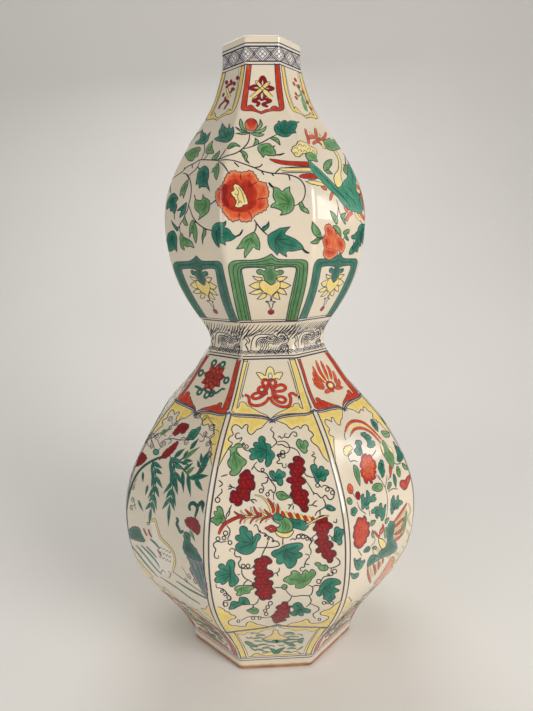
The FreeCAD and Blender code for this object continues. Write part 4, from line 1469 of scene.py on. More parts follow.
# %% Paint the emblems of the shoulder
KNOT = [([(269, 388), (265, 386.5), (262.4, 383), (264, 380), (267.5, 380.4), (270, 384), (273, 390),
          (278.5, 399)]),
        ([(269.5, 388), (273, 386.5), (275.8, 383.3), (274.4, 380.2), (271, 380.4), (268.5, 384), (265, 390),
          (259.5, 398)]),
        ([(268, 392.4), (262, 392.6), (258.4, 390.6), (259.3, 387.6), (263.4, 387), (268, 390.6)]),
        ([(271, 391.6), (277, 391.4), (283.4, 390.6), (285.6, 387.4), (282, 384.8), (277.4, 386),
          (271.5, 390.6)]),
        ([(268, 393.4), (262, 393), (256, 393.2), (252.2, 396), (254.4, 398.8), (260, 397.6), (266, 393.6)]),
        ([(271.5, 393.4), (276.5, 396), (282.5, 397), (285.8, 400), (283, 402.8), (277.6, 401.2),
          (272, 395.6)]),
        ([(269, 397), (266.5, 401.5), (261, 405), (254.4, 405.6), (249.8, 403.4), (249.2, 399.5),
          (248.3, 396.5), (244.6, 394.8)]),
        ([(269.6, 397), (273, 402.4), (279, 406), (285, 407), (289.6, 405), (290.8, 399), (289.6, 394.4),
          (293, 393.4), (297.2, 396.2)])]
knot = Panel("waist", EVEN)
for k, path in enumerate(KNOT):
    knot.line(seen_at(path), 2.15, 0.7 + 0.25 * (k % 2), "iron_red", tone=0.5, taper=0.12, edged=0.2)
for x, y in ((243.4, 396), (298.4, 397)):
    for lean in (-1, 0, 1):
        knot.line(seen_at([(x, y), (x + (x - 270) * 0.05, y + lean * 1.6)]), 0.6, 1.2, tone=0.9)
CLOUD_CAP = [(256.2, 372.6), (262, 373.4), (265, 376), (266.4, 371), (267.7, 368), (270.1, 366.8),
             (272.6, 368.2), (274, 371.2), (274.6, 375), (277, 372.8), (282.6, 372.6), (281.1, 377),
             (279.2, 379.6), (276.3, 378.2), (273.4, 379.4), (267, 379.4), (264, 378.4), (261.5, 379.6),
             (259, 376.6)]
knot.fill("yellow", seen_at(CLOUD_CAP), 0.4, 0.15, 0.35, ink=0.5)
CAP_HEART = [(269, 378.5), (268.3, 375.4), (270.2, 372.8), (272.2, 375.4), (271.6, 378.5)]
knot.fill("white", seen_at(CAP_HEART), 1.4, 0.3, 0.3, ink=0.4)
pearl = Panel("waist", LIKE_THE_RIGHT)
FLAMES = [[(313.6, 383), (319, 387), (325, 388.4)], [(312.4, 378), (317, 384), (325, 386.6)],
          [(312.6, 371.6), (316.4, 379.6), (324, 385)], [(312.6, 366), (317.4, 376.4), (325.4, 383)],
          [(315.6, 360), (320, 371.6), (327, 381.6)], [(320.4, 360.6), (324.4, 369.6), (328.6, 380)],
          [(326, 364.6), (329.6, 371), (331.6, 380)], [(332.6, 370.6), (335, 377), (335.4, 383.4)],
          [(338.4, 378.6), (339, 383), (336.4, 386.6)], [(343, 387), (338, 387.8), (334.6, 388.6)],
          [(324.8, 393), (328.6, 390.6), (332, 390.4)], [(334.4, 392), (332, 390), (330, 390)]]
for path in FLAMES:
    pearl.line(right_side(path), 3.4, 0.5, "iron_red", tone=0.4, taper=0.85, edged=0.2)
YELLOW_FLAMES = ([(320, 375), (325, 382)], [(324, 373), (327.4, 380.6)], [(328.4, 374), (329.6, 380.4)])
for path in YELLOW_FLAMES:
    pearl.line(right_side(path), 1.2, 0.4, "yellow", tone=0.2)
ball = right_side([(330.4, 385.4)])[0]
pearl.fill("iron_red", oval(ball, 9.8, 7.6), 1.2, 0.4, 0.6, ink=0.4)
pearl.fill("yellow", oval(ball, 6.0, 4.4), 2.2, 0.1, 0.2, ink=0.3)
lotus = Panel("waist", LIKE_THE_LEFT)
bloom = left_side([(213.4, 377.5)])[0]
LOTUS_PETAL = [(-0.5, 0.35), (-0.42, 0.7), (0, 1.08), (0, 1.08), (0.42, 0.7), (0.5, 0.35), (0.2, 0),
               (-0.2, 0)]
for ring, (count, reach, wide) in enumerate(((9, 11.4, 7.4), (7, 8.8, 6.6), (5, 5.4, 5.0))):
    for i in range(count):
        petal = turned(np.array(LOTUS_PETAL) * (wide, reach), bloom, 1, 360 * (i + 0.5 * ring) / count)
        lotus.fill("iron_red", petal, 0.6 + ring * 0.8, 1.1, 0.3, ink=0.14, spacing=1.6)
LOTUS_RINGS = [(214, 363, 3.4), (222.6, 364.6, 3.4), (201, 373, 3.4), (226.4, 380.4, 3.2), (199.6, 392, 3.2),
               (207, 395, 3.6), (212, 393.6, 3.2)]
for x, y, wide in LOTUS_RINGS:
    ring = circle(left_side([(x, y)])[0], wide / 2 + 0.6, 12)
    lotus.line(ring, 1.7, 0.4, "dark_green", tone=0.6, closed=True, edged=0.25)
LOTUS_RIBBONS = ([(203, 388), (208, 392), (216, 393), (222, 389), (225, 389.6)],
                 [(195, 386), (199, 388), (203, 391)])
for path in LOTUS_RIBBONS:
    lotus.line(left_side(path), 1.9, 0.4, "dark_green", tone=0.6, edged=0.25)
print("emblems: knot, pearl, lotus")

# %% [markdown]
# ## The grapevine panel
# Four of the eight tall panels carry a grapevine with a long-tailed bird. Leaves, bunches, stems and the bird
# follow the photograph's own points. A leaf is a lobed shape with veins that fan out from its stalk. A bunch
# is one lobed shape too, filled with rows of darker rings, one to each berry.

# %% Paint the vine leaves
VINE_LEAVES = [("dark_green",
                [(259, 438), (261.5, 436), (264.5, 437.5), (265.5, 440.5), (265, 443), (269, 444),
                 (271, 446.5), (270.5, 449.5), (274, 453), (274.5, 457), (272, 460), (271.5, 463),
                 (269.5, 465.5), (267, 467), (265.5, 464.5), (265.5, 461), (266, 459), (263.5, 458.5),
                 (263, 461), (260.5, 462.5), (258.5, 461), (257.5, 459), (255.5, 458.5), (253, 460),
                 (250.5, 459.5), (249.5, 457), (251, 454.5), (252, 453), (249.5, 451.5), (248.8, 449.8),
                 (251.5, 448.5), (254.5, 448), (255.5, 447.5), (253.5, 445.5), (254, 443), (256.5, 442),
                 (258.8, 443), (258.5, 440)], (270.5, 449)),
               ("light_green",
                [(297, 441), (298.5, 439), (301, 440), (303, 442), (304.5, 440), (307, 441.5), (308.5, 445),
                 (306.5, 448), (307.5, 451), (305, 453.5), (302, 452), (300.5, 450), (298, 447.5),
                 (296.3, 444)], (300, 450)),
               ("light_green",
                [(228, 448.5), (230, 447), (234, 447), (235, 445), (238.5, 443), (242, 445), (242.5, 447),
                 (239, 447.5), (236.5, 448), (237, 451.5), (240, 455.5), (243.5, 458.5), (246.5, 461),
                 (245.5, 464.5), (242.5, 467), (241, 470), (238.5, 473.5), (235, 475.5), (231.5, 475.5),
                 (229.5, 473.5), (230.5, 471), (232.5, 470), (229.5, 467.5), (228, 464.5), (228, 460.5),
                 (230, 458), (230.5, 453.5), (230.5, 450.5)], (234, 448)),
               ("dark_green",
                [(310.5, 467), (311.5, 465), (314.5, 464.3), (317, 466), (317, 469), (318.5, 469.5),
                 (319.5, 467), (322, 466), (324, 468), (324.5, 470.5), (327, 469.5), (328.5, 471.5),
                 (328.5, 474.5), (326, 476.5), (326, 479.5), (324, 481.5), (321.5, 481), (320, 480),
                 (318, 483), (315.8, 481.5), (314.5, 478), (313, 474), (311.5, 470.5)], (316, 481)),
               ("dark_green",
                [(269.5, 472), (271.5, 470.5), (274, 471.5), (275, 474), (276.5, 472.5), (277.5, 469.5),
                 (280, 469.5), (281.5, 472), (284, 471.5), (285.5, 474.5), (284.5, 477), (282, 478.5),
                 (283, 481.5), (282.5, 484.5), (280, 485.8), (277.8, 484), (276.5, 481), (273.5, 479.5),
                 (271, 477), (269.5, 474.5)], (274, 480)),
               ("light_green",
                [(276, 493.5), (278.5, 491.8), (283, 491.5), (286, 494), (290, 496.2), (293, 495),
                 (296, 496.5), (297.5, 499), (293, 499), (289.5, 497.5), (285, 499.5), (280.5, 500),
                 (277.5, 497.5)], (276, 495)),
               ("light_green",
                [(216.5, 508), (218.5, 506), (221.5, 507.5), (223, 511), (223.5, 514.5), (225, 518),
                 (225.5, 521), (223, 523), (220, 523), (218.5, 525.5), (216, 525), (214, 523), (211, 521.5),
                 (210.5, 519), (213, 517.5), (215.5, 515.5), (214, 513.5), (214.5, 511), (216.5, 512),
                 (217.5, 510)], (224, 521)),
               ("dark_green",
                [(240, 527.5), (243.5, 526), (247.5, 528.5), (247, 531.5), (249.5, 530.5), (252, 532),
                 (252.5, 535.5), (253.5, 537.5), (255.5, 535), (258, 533.5), (260.5, 535), (260, 538.5),
                 (257.5, 541.5), (256.5, 544), (256, 547.5), (253.5, 551.5), (249, 554), (244, 554.3),
                 (239.5, 552.5), (236, 549.5), (235.8, 545.5), (238.5, 542.5), (240, 541.5), (237, 540.5),
                 (235.3, 537.8), (237, 535), (240, 535), (239.8, 531)], (256, 547)),
               ("dark_green",
                [(271.3, 553.5), (274, 550.5), (279, 549), (283, 546), (287, 544.5), (293, 543.3),
                 (299, 542.8), (302.5, 544), (302.8, 547), (299.5, 550), (297.5, 551.5), (301.5, 553),
                 (302.3, 555.5), (299.5, 558), (297, 558.5), (296.5, 562), (294.5, 565.5), (290.5, 568.3),
                 (287.5, 567.5), (285.5, 564.5), (283.5, 562.5), (280.5, 564), (277.5, 563.5), (276.5, 560.5),
                 (277, 558), (273.5, 556.5)], (282, 547)),
               ("dark_green",
                [(218.3, 566.5), (220, 564), (223, 564), (225.5, 566.5), (226.5, 565), (227.5, 561.5),
                 (230.5, 559.5), (234, 561), (235, 564.5), (234, 569), (234.5, 573), (237, 576.5),
                 (238.8, 580), (237, 583.5), (234, 586), (231, 586.8), (229.3, 584.5), (229, 581.5),
                 (227.5, 581), (225, 583.5), (222, 584.5), (220, 582), (217.5, 583), (215, 581.5),
                 (215, 578.5), (217.5, 576.5), (215.3, 575), (215.8, 572), (219, 571), (220.5, 569.5)],
                (234.5, 574)),
               ("light_green",
                [(234.5, 588.5), (237, 586), (242, 585.5), (248, 585.3), (252.5, 586), (254, 588.5),
                 (250.5, 590), (249.5, 593), (246.5, 593.5), (243, 594), (240, 595.8), (236.5, 595),
                 (237, 592.5), (238.5, 591.5), (235.8, 590.8)], (243.5, 586)),
               ("dark_green",
                [(229, 608.5), (230.5, 605), (231, 602.5), (234, 601), (237.5, 602), (239.5, 600), (239, 598),
                 (242, 597), (246.5, 597.8), (249, 601), (249.3, 604.3), (244, 604.7), (239.5, 605.3),
                 (236.5, 607.5), (233, 609), (230, 609.3)], (249, 604)),
               ("light_green",
                [(246.5, 610.5), (250, 608.8), (253, 607.5), (257, 608.5), (258.7, 611), (256.5, 613.8),
                 (252.5, 613.5), (249.5, 612)], (253, 608)),
               ("light_green",
                [(283.5, 581), (284.5, 578), (288.5, 576), (291, 575), (291, 572), (294.5, 570.5),
                 (298.5, 572), (301.5, 575), (303, 572), (305.5, 569.5), (308, 571.5), (309.5, 573),
                 (310.5, 570), (313, 569.5), (315.8, 572.5), (314.5, 576), (312, 578.5), (310, 582),
                 (307, 584.5), (303, 587.5), (299, 588.3), (295.5, 587.5), (296, 584.5), (293.5, 584),
                 (290, 584.5), (287.5, 582.5)], (308, 584)),
               ("dark_green",
                [(320, 586), (323, 582), (326, 579.5), (331, 578.3), (337, 579), (340.5, 581.5), (340, 584),
                 (336, 585), (334, 587), (338.5, 589.5), (339, 591), (335.5, 592.5), (334, 594.5),
                 (335.5, 597), (332.5, 600), (329, 601), (325.5, 599.5), (323, 598.5), (324, 596),
                 (322, 594.5), (319.5, 596.5), (317, 594.5), (316.5, 592), (319, 590)], (320, 586)),
               ("dark_green",
                [(292.3, 606.5), (294.5, 603.5), (298.5, 602.3), (302, 604.5), (303.5, 607.5), (307, 608.5),
                 (310.5, 610), (309.5, 612.8), (306, 613), (303, 612.5), (303.5, 615), (300.5, 616),
                 (298, 614.5), (294.5, 616), (291, 614.5), (290.3, 613), (293, 611.5), (294.5, 609.5)],
                (304, 607.5)),
               ("dark_green",
                [(334.5, 531), (335, 527.5), (338, 526.8), (340, 529), (342.5, 529), (344, 531), (343, 534.5),
                 (341.5, 538), (342, 542), (341, 544.5), (338.5, 545), (337, 542.5), (333, 540.5),
                 (331.5, 538.5), (334, 536), (334.3, 533.5)], (332, 538)),
               ("light_green",
                [(314.5, 564), (317, 562.5), (320, 563), (322, 565.5), (325, 564.5), (327.8, 566.5),
                 (327.5, 569.5), (323.5, 570.8), (319.5, 569.5), (318, 566.5)], (327.5, 567.5)),
               ("light_green", [(281.5, 587.5), (283.5, 584.5), (287, 585.5), (286.5, 588.5), (284, 589.5)],
                (286, 588)),
               ("dark_green",
                [(325, 505.5), (329, 504.8), (332.5, 506.5), (335.8, 509.5), (331.5, 511), (327.5, 509.5),
                 (325.5, 508)], (325, 506)),]
VINE_PLACES = [(0, False), (2, True), (4, False), (6, True)]
vine = Panel("lower_bulb", VINE_PLACES)
for colour, outline, stalk in VINE_LEAVES:
    points = seen_at(outline)
    nearest = int(np.argmin(np.hypot(*(points - seen_at([stalk])[0]).T)))
    veined_leaf(vine, colour, np.roll(points, -nearest, axis=0), veins=5 if len(points) > 14 else 3)
print("vine leaves:", len(VINE_LEAVES))

# %% Paint the stems and tendrils
VINE_STEMS = [[(272.5, 427), (270.5, 429.6), (273, 432), (274, 434.5), (273, 437), (275, 439), (276.6, 442),
               (276, 443.6), (273, 446.5), (271, 448)],
              [(276.6, 442.4), (280, 441.4), (284.5, 441.4), (288, 444), (290, 447.4), (294, 448.4),
               (297.6, 451), (300.4, 456)],
              [(276.6, 444), (279, 445), (282, 444.6), (286, 447), (290, 447.6)],
              [(290, 447.6), (288.6, 451.6), (285.4, 453.4), (280.4, 454), (277.4, 455.4), (279.6, 459.6),
               (276.8, 462), (278, 463.6), (282, 463.4), (282.6, 466.4), (284.4, 468), (286.2, 466.6),
               (285.4, 463.6)], [(278, 437.4), (279.6, 436), (281.6, 438.4), (284, 436.6)],
              [(286.8, 434), (284.6, 434), (285, 437), (288.6, 437.4), (290.6, 434.4), (292.8, 432),
               (296, 432.6), (297, 435.4), (295, 436.6), (293.8, 434.8)],
              [(240, 433.4), (237.4, 433), (235.2, 436), (237, 438.8), (240, 438.2), (242.2, 437.4),
               (241.4, 439.6), (239.6, 442)],
              [(243.6, 442.6), (242.6, 446), (244.4, 449), (247.6, 450.8), (250.6, 450.4)],
              [(257, 462), (254, 465.4), (256, 469), (259.4, 471.6), (263.6, 472.4), (267, 474.4),
               (269.4, 478.6), (272.4, 482.8), (275.2, 486.6), (275.6, 490.4), (273.6, 494.4), (273.8, 500)],
              [(254, 466), (251.4, 470)],
              [(265, 477.6), (267.6, 477.4), (267.6, 481), (265.6, 483), (261.6, 484), (263.8, 488),
               (263.6, 491)], [(274.6, 492), (272.6, 492.4), (271.4, 490), (269, 490.6), (268.8, 493)],
              [(269.6, 478.8), (274, 481), (277, 481)], [(221, 476.6), (224.6, 475.4), (227.6, 474.6)],
              [(218.6, 480), (222.6, 484), (219, 487)],
              [(221.4, 488.6), (222, 492), (219, 495.2), (216.8, 497.4)],
              [(303.6, 471), (306, 475), (309, 476.5), (313.6, 477.6)],
              [(306.4, 481.4), (310, 487), (313.4, 492.6), (317, 493.8), (319.4, 496.4), (322, 498),
               (325.4, 495), (328, 498.6), (331, 499.6), (333.8, 496.8), (334, 492), (332.6, 489),
               (329.6, 487.6), (327, 486), (323.6, 485.4), (321.4, 487.4), (319.6, 484.4)],
              [(313.4, 492.6), (313.6, 495)],
              [(323, 498.4), (325.2, 503), (325.2, 506.6), (321, 509.6), (317, 512), (315, 516)],
              [(320, 510.6), (320, 515)],
              [(312.6, 451.6), (314.6, 453.6), (311.6, 455.6), (315.6, 457.6), (314, 460.4), (314.6, 464)],
              [(283, 537.6), (282.6, 545)],
              [(226.8, 525.6), (229.8, 529.6), (229.6, 534), (228, 538), (228.2, 541)],
              [(226.6, 541), (221.6, 542.2), (217.4, 541.4), (214, 543.2), (213.6, 546), (215.8, 549.6),
               (214.4, 553.4), (214.6, 557), (217, 558.4), (219, 557), (218, 555.4)],
              [(230.4, 551.6), (229.6, 549.6), (232.4, 548.4), (235.2, 550.6), (234.4, 554), (236.2, 556.6),
               (240.2, 557), (240.8, 559.6), (238.6, 562.6), (239.4, 566.4), (242.4, 568.4), (250.6, 568.6),
               (253.8, 565.2)], [(241.8, 568.6), (242, 573.6), (244.8, 578), (248.4, 580), (252.8, 582.6)],
              [(248, 580), (244, 583.6), (243.6, 590)], [(237.4, 574.6), (240, 574.6)],
              [(258.8, 598.6), (257.2, 602.4), (254, 604.6), (249, 604.4)], [(253.4, 604.6), (253, 608)],
              [(216, 584), (216.6, 587.6), (220, 588), (223.4, 589.4), (226, 592), (228, 594.6), (231, 597.4),
               (230, 600.6), (224.6, 600.6), (223, 604), (224.6, 607)],
              [(290, 540.4), (292.6, 538.6), (295.6, 539.6), (296.8, 536), (300.4, 534), (305.4, 535.2),
               (309.4, 537.8), (311.8, 541.6), (309.2, 546), (311.2, 551), (310.4, 555)],
              [(316, 534.4), (312, 537.6)],
              [(305, 554), (308.4, 554.8), (309.2, 557.4), (306.6, 560), (304.8, 564), (304.6, 567),
               (301.4, 567.4), (300, 569.6), (302.4, 571.4)], [(305, 563.8), (309.6, 564.8)],
              [(254, 526.4), (255.4, 524.4), (257.6, 526.4), (258.4, 530), (260.6, 532.6), (265, 533.4),
               (267.6, 536), (271.6, 537.6), (274, 540.6), (277.6, 541.6), (279.4, 545), (275, 547),
               (266, 547.6), (256.6, 547.6)],
              [(268.2, 540.4), (267, 545), (265.4, 548), (262.6, 553.6), (261.4, 557)],
              [(335.6, 557.4), (339, 560), (340, 563.6), (336.8, 566.2), (331.6, 568), (328, 567.6)],
              [(331.6, 568), (331, 571.6), (333.2, 574.4), (331, 575.6), (325, 576.4), (322.4, 578.6),
               (321, 581.6)],
              [(308, 585), (312.4, 587), (312.6, 591), (310, 595.4), (303, 595.4), (292, 596),
               (285.4, 589.6)], [(312.4, 586.6), (316, 585.4), (320.4, 585.6)],
              [(292, 596), (289.6, 600.4), (286, 602.4)],
              [(309, 596), (311.2, 600), (310, 603.6), (306, 607)],
              [(310, 603.6), (315, 605.6), (318.6, 607.4), (318.4, 610.6), (313.6, 613.4), (313.4, 616),
               (315.6, 618.6)], [(274, 573.6), (277, 572.6), (279.2, 570.6), (279, 567.6)],
              [(277, 572.8), (278.2, 576.4)], [(274.4, 587.6), (281.4, 587.6)],
              [(241, 620.4), (244.4, 618.6), (248, 617), (253, 616.4), (259, 616.6), (263, 617.6),
               (267.4, 617.6), (271.4, 616)], [(236, 488.4), (232, 487), (228, 486.4)],
              [(232, 487), (229.4, 484)], [(232, 488), (228, 489.4)],
              [(249.4, 500.4), (254, 499.4), (257, 501.4)], [(251, 500.4), (254.4, 503.4)],
              [(231.6, 504.6), (229.4, 510), (226.4, 515), (226.4, 519)],
              [(229.4, 508), (229.6, 513), (227.6, 517)], [(293, 503.4), (290.4, 506), (288.4, 509.6)],
              [(291, 505), (287.6, 504.8)], [(293.4, 505), (293, 509.6)],
              [(308.6, 505), (312, 505), (314.6, 502), (317, 500.4)], [(312, 505), (317.4, 506.6)],
              [(333, 521.6), (336.4, 522.6), (336.6, 518.6)], [(329, 535), (332, 537.6)],]
for stem in VINE_STEMS:
    vine.line(seen_at(stem), 0.66, tone=0.75, step=0.8)
VINE_LOOPS = [(243.6, 443.8, 1.0), (246.6, 446.6, 1.7), (279.2, 455.4, 1.4), (282.6, 452.4, 2.0),
              (283, 456, 2.0), (262.6, 469.8, 1.6), (261.2, 490.8, 2.0), (267.6, 494.4, 1.7),
              (217.6, 500, 2.4), (332.6, 492.6, 2.0), (327.4, 489.4, 1.9), (317.6, 485.4, 1.9),
              (225.6, 533.2, 2.2), (224, 538, 1.9), (218, 538.8, 2.0), (230, 542.6, 1.9), (243.2, 566, 1.9),
              (248, 566, 1.9), (298.6, 536.6, 2.1), (303, 537, 1.9), (307.2, 538.8, 1.5), (311.6, 539.6, 1.6),
              (334.6, 571.2, 2.1), (318.8, 581.4, 2.1), (222, 591.2, 1.3), (225.2, 594.6, 1.4),
              (228.8, 597.6, 1.9), (225.8, 604.2, 2.1), (270.4, 603.2, 2.0), (267.6, 607, 1.7),
              (265.2, 610.6, 1.6), (266.2, 614, 1.7), (253.2, 618, 1.6), (259.6, 618, 1.5),
              (238.4, 621.2, 1.4), (319.4, 619.4, 1.3), (324, 602.8, 1.6), (331.6, 603, 1.7),
              (327.8, 602.6, 1.2), (265.2, 535.6, 0.9), (268.4, 538.6, 1.0), (273, 541, 0.9),
              (259.8, 531.4, 0.8), (328.6, 574.6, 0.9), (281, 454, 1.2), (278, 455.4, 1.0)]
for x, y, radius in VINE_LOOPS:
    vine.line(seen_at(circle((x, y), radius, 10)), 0.58, 0.3, tone=0.85, closed=True, step=0.55)
print("stems:", len(VINE_STEMS), "loops:", len(VINE_LOOPS))

# %% Paint the grapes
GRAPE_BUNCHES = [[(246, 469.6), (249.5, 470.5), (251, 474), (254, 476), (253.5, 480), (255, 483), (255, 487),
                  (253.5, 490), (250.5, 490.5), (250, 495), (249.5, 499.5), (247, 501.5), (244, 500),
                  (242.2, 500), (242, 503.5), (239.5, 505.7), (236, 505.7), (234, 503), (231, 502.5),
                  (229.5, 499.5), (230.5, 496), (230.5, 493), (233, 490.3), (236.5, 491), (236.5, 487.5),
                  (239.5, 485), (238, 481.5), (240, 477.5), (239.5, 475), (242.5, 472.5)],
                 [(295, 456.5), (299, 456.3), (303, 459), (304.7, 462), (303, 466), (305.7, 469),
                  (304, 472.5), (301, 476), (303, 477.5), (306.2, 481), (304, 484), (301.5, 485), (302, 489),
                  (306, 490.3), (308.7, 494), (307, 497.5), (309.2, 501), (307, 505), (308.7, 508.5),
                  (306, 512.2), (302, 511), (300, 507), (297, 504.5), (293.5, 502.5), (292.5, 498),
                  (289.8, 495), (292, 491), (290.8, 487), (292, 484), (288, 482.3), (286.3, 480),
                  (289, 477.3), (292, 477), (289.8, 473), (290.5, 469.5), (287.8, 466.5), (290, 463.3),
                  (294, 463), (292.8, 459)],
                 [(316.4, 521), (315, 526), (313, 528), (314, 530.7), (317, 531), (316.3, 534),
                  (318.5, 537.5), (315.8, 540.5), (315.3, 543), (317.5, 545), (319, 547), (316.3, 549),
                  (315.8, 551.3), (318, 553), (321.5, 552), (322, 556), (325, 558.7), (327, 559),
                  (327.5, 561.7), (330, 562.9), (332.7, 560.7), (333, 557.5), (335.7, 555.7), (336.2, 552.5),
                  (334, 550.2), (331, 550), (330.5, 548.5), (333.2, 546), (332.7, 543), (330, 540.8),
                  (328, 540.5), (328.7, 537.5), (327, 534.5), (328.7, 532), (329, 529.5), (332.2, 527.5),
                  (332.2, 524.5), (330, 522.7), (327.7, 521.5), (327, 517), (323, 515.4), (319, 516.6)],
                 [(263, 555.8), (267, 556.3), (270, 558.3), (272.2, 561), (270.5, 563.7), (267.5, 564.5),
                  (266.5, 567.5), (268, 569.8), (271, 570.3), (273.2, 573), (272.7, 576.2), (269.5, 577.5),
                  (268.5, 580), (272, 580.8), (273.2, 583.5), (271.5, 586), (273, 588.5), (275.7, 591),
                  (274.5, 593.3), (271.5, 594), (272.2, 597), (270, 599.3), (266.5, 599), (263.5, 600.3),
                  (260, 598.7), (258.5, 596), (255.5, 594.2), (255.3, 592), (257.5, 589.5), (255.5, 587.7),
                  (252.3, 585.7), (252.3, 583.3), (256, 581.5), (254.3, 579), (256.5, 576), (253.3, 574.2),
                  (253.3, 571.3), (255.5, 569.5), (253.3, 566.5), (255.5, 564), (254.3, 561), (256.5, 558.8),
                  (260, 558)],
                 [(283, 601.8), (287.7, 602.3), (288, 605.5), (292.2, 606), (289.5, 608.5), (290.2, 612),
                  (288.5, 614.5), (289.7, 616.7), (287, 617.7), (283.5, 617), (286.2, 620), (283, 621.2),
                  (280, 622), (276, 623.2), (273.3, 621), (272.5, 618), (270.8, 616.5), (274, 614),
                  (276, 611), (278, 609.5), (275.8, 607.5), (278.5, 605.3), (281, 604.5)],]
BERRY = 1.75
berries = 0
for bunch in GRAPE_BUNCHES:
    shape = flowing(seen_at(bunch), 0.9, closed=True)[:-1]
    vine.fill("crimson", shape, 2, 0.75, 0.5, ink=0.5, step=0.9, spacing=2.0)
    low, high = shape.min(0), shape.max(0)
    grid = np.stack(np.meshgrid(*(np.arange(low[i] + 1, high[i], BERRY * (1.9, 1.65)[i]) for i in (0, 1))),
                    axis=-1)
    grid[1::2, :, 0] += BERRY * 0.95
    grid = grid.reshape(-1, 2)
    grid = grid[is_inside(shape, grid)]
    grid = grid[gaps_to(shape, grid) > 1.15]
    chance = random.Random(len(grid))
    for place in grid:
        place = place + (chance.uniform(-0.3, 0.3), chance.uniform(-0.3, 0.3))
        first = chance.randrange(10)
        ring = np.roll(circle(place, BERRY * 0.92, 10), -first, axis=0)[:8]
        vine.line(ring, 0.42, 3.2, "crimson", tone=1.35, taper=0.5, step=0.8)
        vine.fill("crimson", circle(place, 0.5, 6), 3.2, 0.3, 0.3, ink=0, step=0.8)
    berries += len(grid)
print("berries:", berries)

# %% [markdown]
# ## The bird in the vine
# The bird stretches across the middle of the panel: a red quill that breaks into red and yellow barbs for a
# tail, a light green body on a yellow crescent, a dark green wing, and upright plumes.

# %% Paint the bird
bird = Panel("lower_bulb", VINE_PLACES)
QUILLS = [("yellow", 1.3, [(243, 516.8), (256, 516.4), (273, 516.8)]),
          ("yellow", 1.7, [(273, 517), (269, 505), (262, 497), (254.6, 495)]),
          ("yellow", 1.6, [(248.5, 516.8), (243, 514.2), (240.4, 510)]),
          ("yellow", 1.6, [(257, 516.4), (252.4, 512.6), (250.6, 506.8)]),
          ("yellow", 1.6, [(268.4, 516.6), (262.6, 512.8), (259.2, 507.6)]),
          ("yellow", 1.5, [(250.6, 516.6), (246, 519.2), (244, 523.4)]),
          ("yellow", 1.4, [(263, 516.8), (258.6, 518.6), (255.8, 522)]),
          ("yellow", 1.3, [(271.6, 517.2), (267.6, 518.8), (265.4, 522.2)]),
          ("iron_red", 1.9, [(244.5, 516.6), (238.6, 514.8), (234, 511.4)]),
          ("iron_red", 2.0, [(251.6, 515.6), (248, 512.4), (245, 509.2)]),
          ("iron_red", 2.1, [(262, 515.2), (256.8, 512.6), (253.4, 506.4)]),
          ("iron_red", 2.0, [(273.4, 517), (268, 513.4), (264, 509.2)]),
          ("iron_red", 1.8, [(245, 516.6), (241.2, 519.6), (240, 524)]),
          ("iron_red", 1.9, [(259.6, 515.4), (253, 518.8), (250, 524)]),
          ("iron_red", 1.9, [(270, 516), (263, 519), (260, 523.4)]),
          ("iron_red", 2.2, [(273.6, 513), (272.8, 506), (267.4, 498)]),
          ("yellow", 1.4, [(275.4, 513), (275.2, 507), (273.4, 502)]),
          ("iron_red", 2.2, [(277.4, 513.6), (278.2, 508), (277.4, 503.4)]),
          ("yellow", 1.3, [(279.8, 514), (280, 510), (279.4, 506.6)]),]
QUILL_STEM = [(218.8, 534.4), (221, 528.8), (224.8, 524), (230.6, 520.4), (238, 517.2), (244, 516.4)]
bird.line(seen_at(QUILL_STEM), 2.1, 2.4, "iron_red", tone=0.7, taper=0.35, edged=0.3)
for k, (colour, width, path) in enumerate(QUILLS):
    spine = flowing(seen_at(path), 0.8)
    ahead = np.gradient(spine, axis=0)
    ahead /= np.hypot(*ahead.T)[:, None]
    side = ahead[:, ::-1] * (-1, 1) * (width / 2 * np.linspace(1, 0.12, len(spine)) ** 0.6)[:, None]
    blade = np.concatenate([spine + side, (spine - side)[::-1]])
    points, faces = net(blade, 3)
    bird.lay(colour, points, faces, np.full(len(points), 0.6 if colour == "iron_red" else 0.4),
             2.0 + 0.03 * k)
    for way in (1, -1):
        bird.line(spine + way * side, 0.26, 2.7, tone=0.6)
WING = [(289, 518.6), (296, 519.4), (303, 520.6), (308.6, 525), (306, 529), (304, 530.4), (298, 528.8),
        (293.4, 527.4), (290, 524)]
bird.fill("dark_green", seen_at(WING), 2.3, 0.4, 0.8, ink=0.5)
for k in range(9):
    x, y = 282.6 + k * 3.8, 513.6 + k * 0.55 + 0.15 * k * (k > 4)
    colour = ("iron_red", "yellow")[k % 2]
    bird.line(seen_at([(x - 1.2, y - 2.4), (x + 0.2, y + 0.6), (x + 1.6, y + 3.6)]), 2.0, 2.4, colour,
              tone=0.6, taper=0.25, edged=0.26)
LONG_PLUME = [(306, 525.4), (312, 522), (319, 518.4), (329, 515.4)]
bird.line(seen_at(LONG_PLUME), 1.3, 3.0, "yellow", tone=0.45, taper=0.6, edged=0.35)
CRESCENT = [(275.4, 531.4), (279, 531), (284, 533), (289, 532.2), (293.4, 530), (292.4, 534), (288, 537.4),
            (281.6, 537.2), (277.2, 534.8)]
bird.fill("yellow", seen_at(CRESCENT), 2.2, 0.3, 0.5, ink=0.5)
BIRD_BODY = [(272.6, 519), (275.4, 517.4), (279.6, 518), (283.6, 517), (288.4, 518.6), (292.3, 523.2),
             (292.8, 528.4), (289.6, 531.8), (284, 533), (279.6, 532), (276.2, 530), (276, 528.2),
             (280.4, 525.8), (279, 523.6), (275.4, 522)]
bird.fill("light_green", seen_at(BIRD_BODY), 3.0, 0.35, 0.6, ink=0.5)
BIRD_SHOULDER = [(273.4, 519), (274, 515), (276, 513.4), (279.6, 513.4), (281.2, 516), (283.8, 518.2),
                 (281.6, 519.6), (277.6, 520.2)]
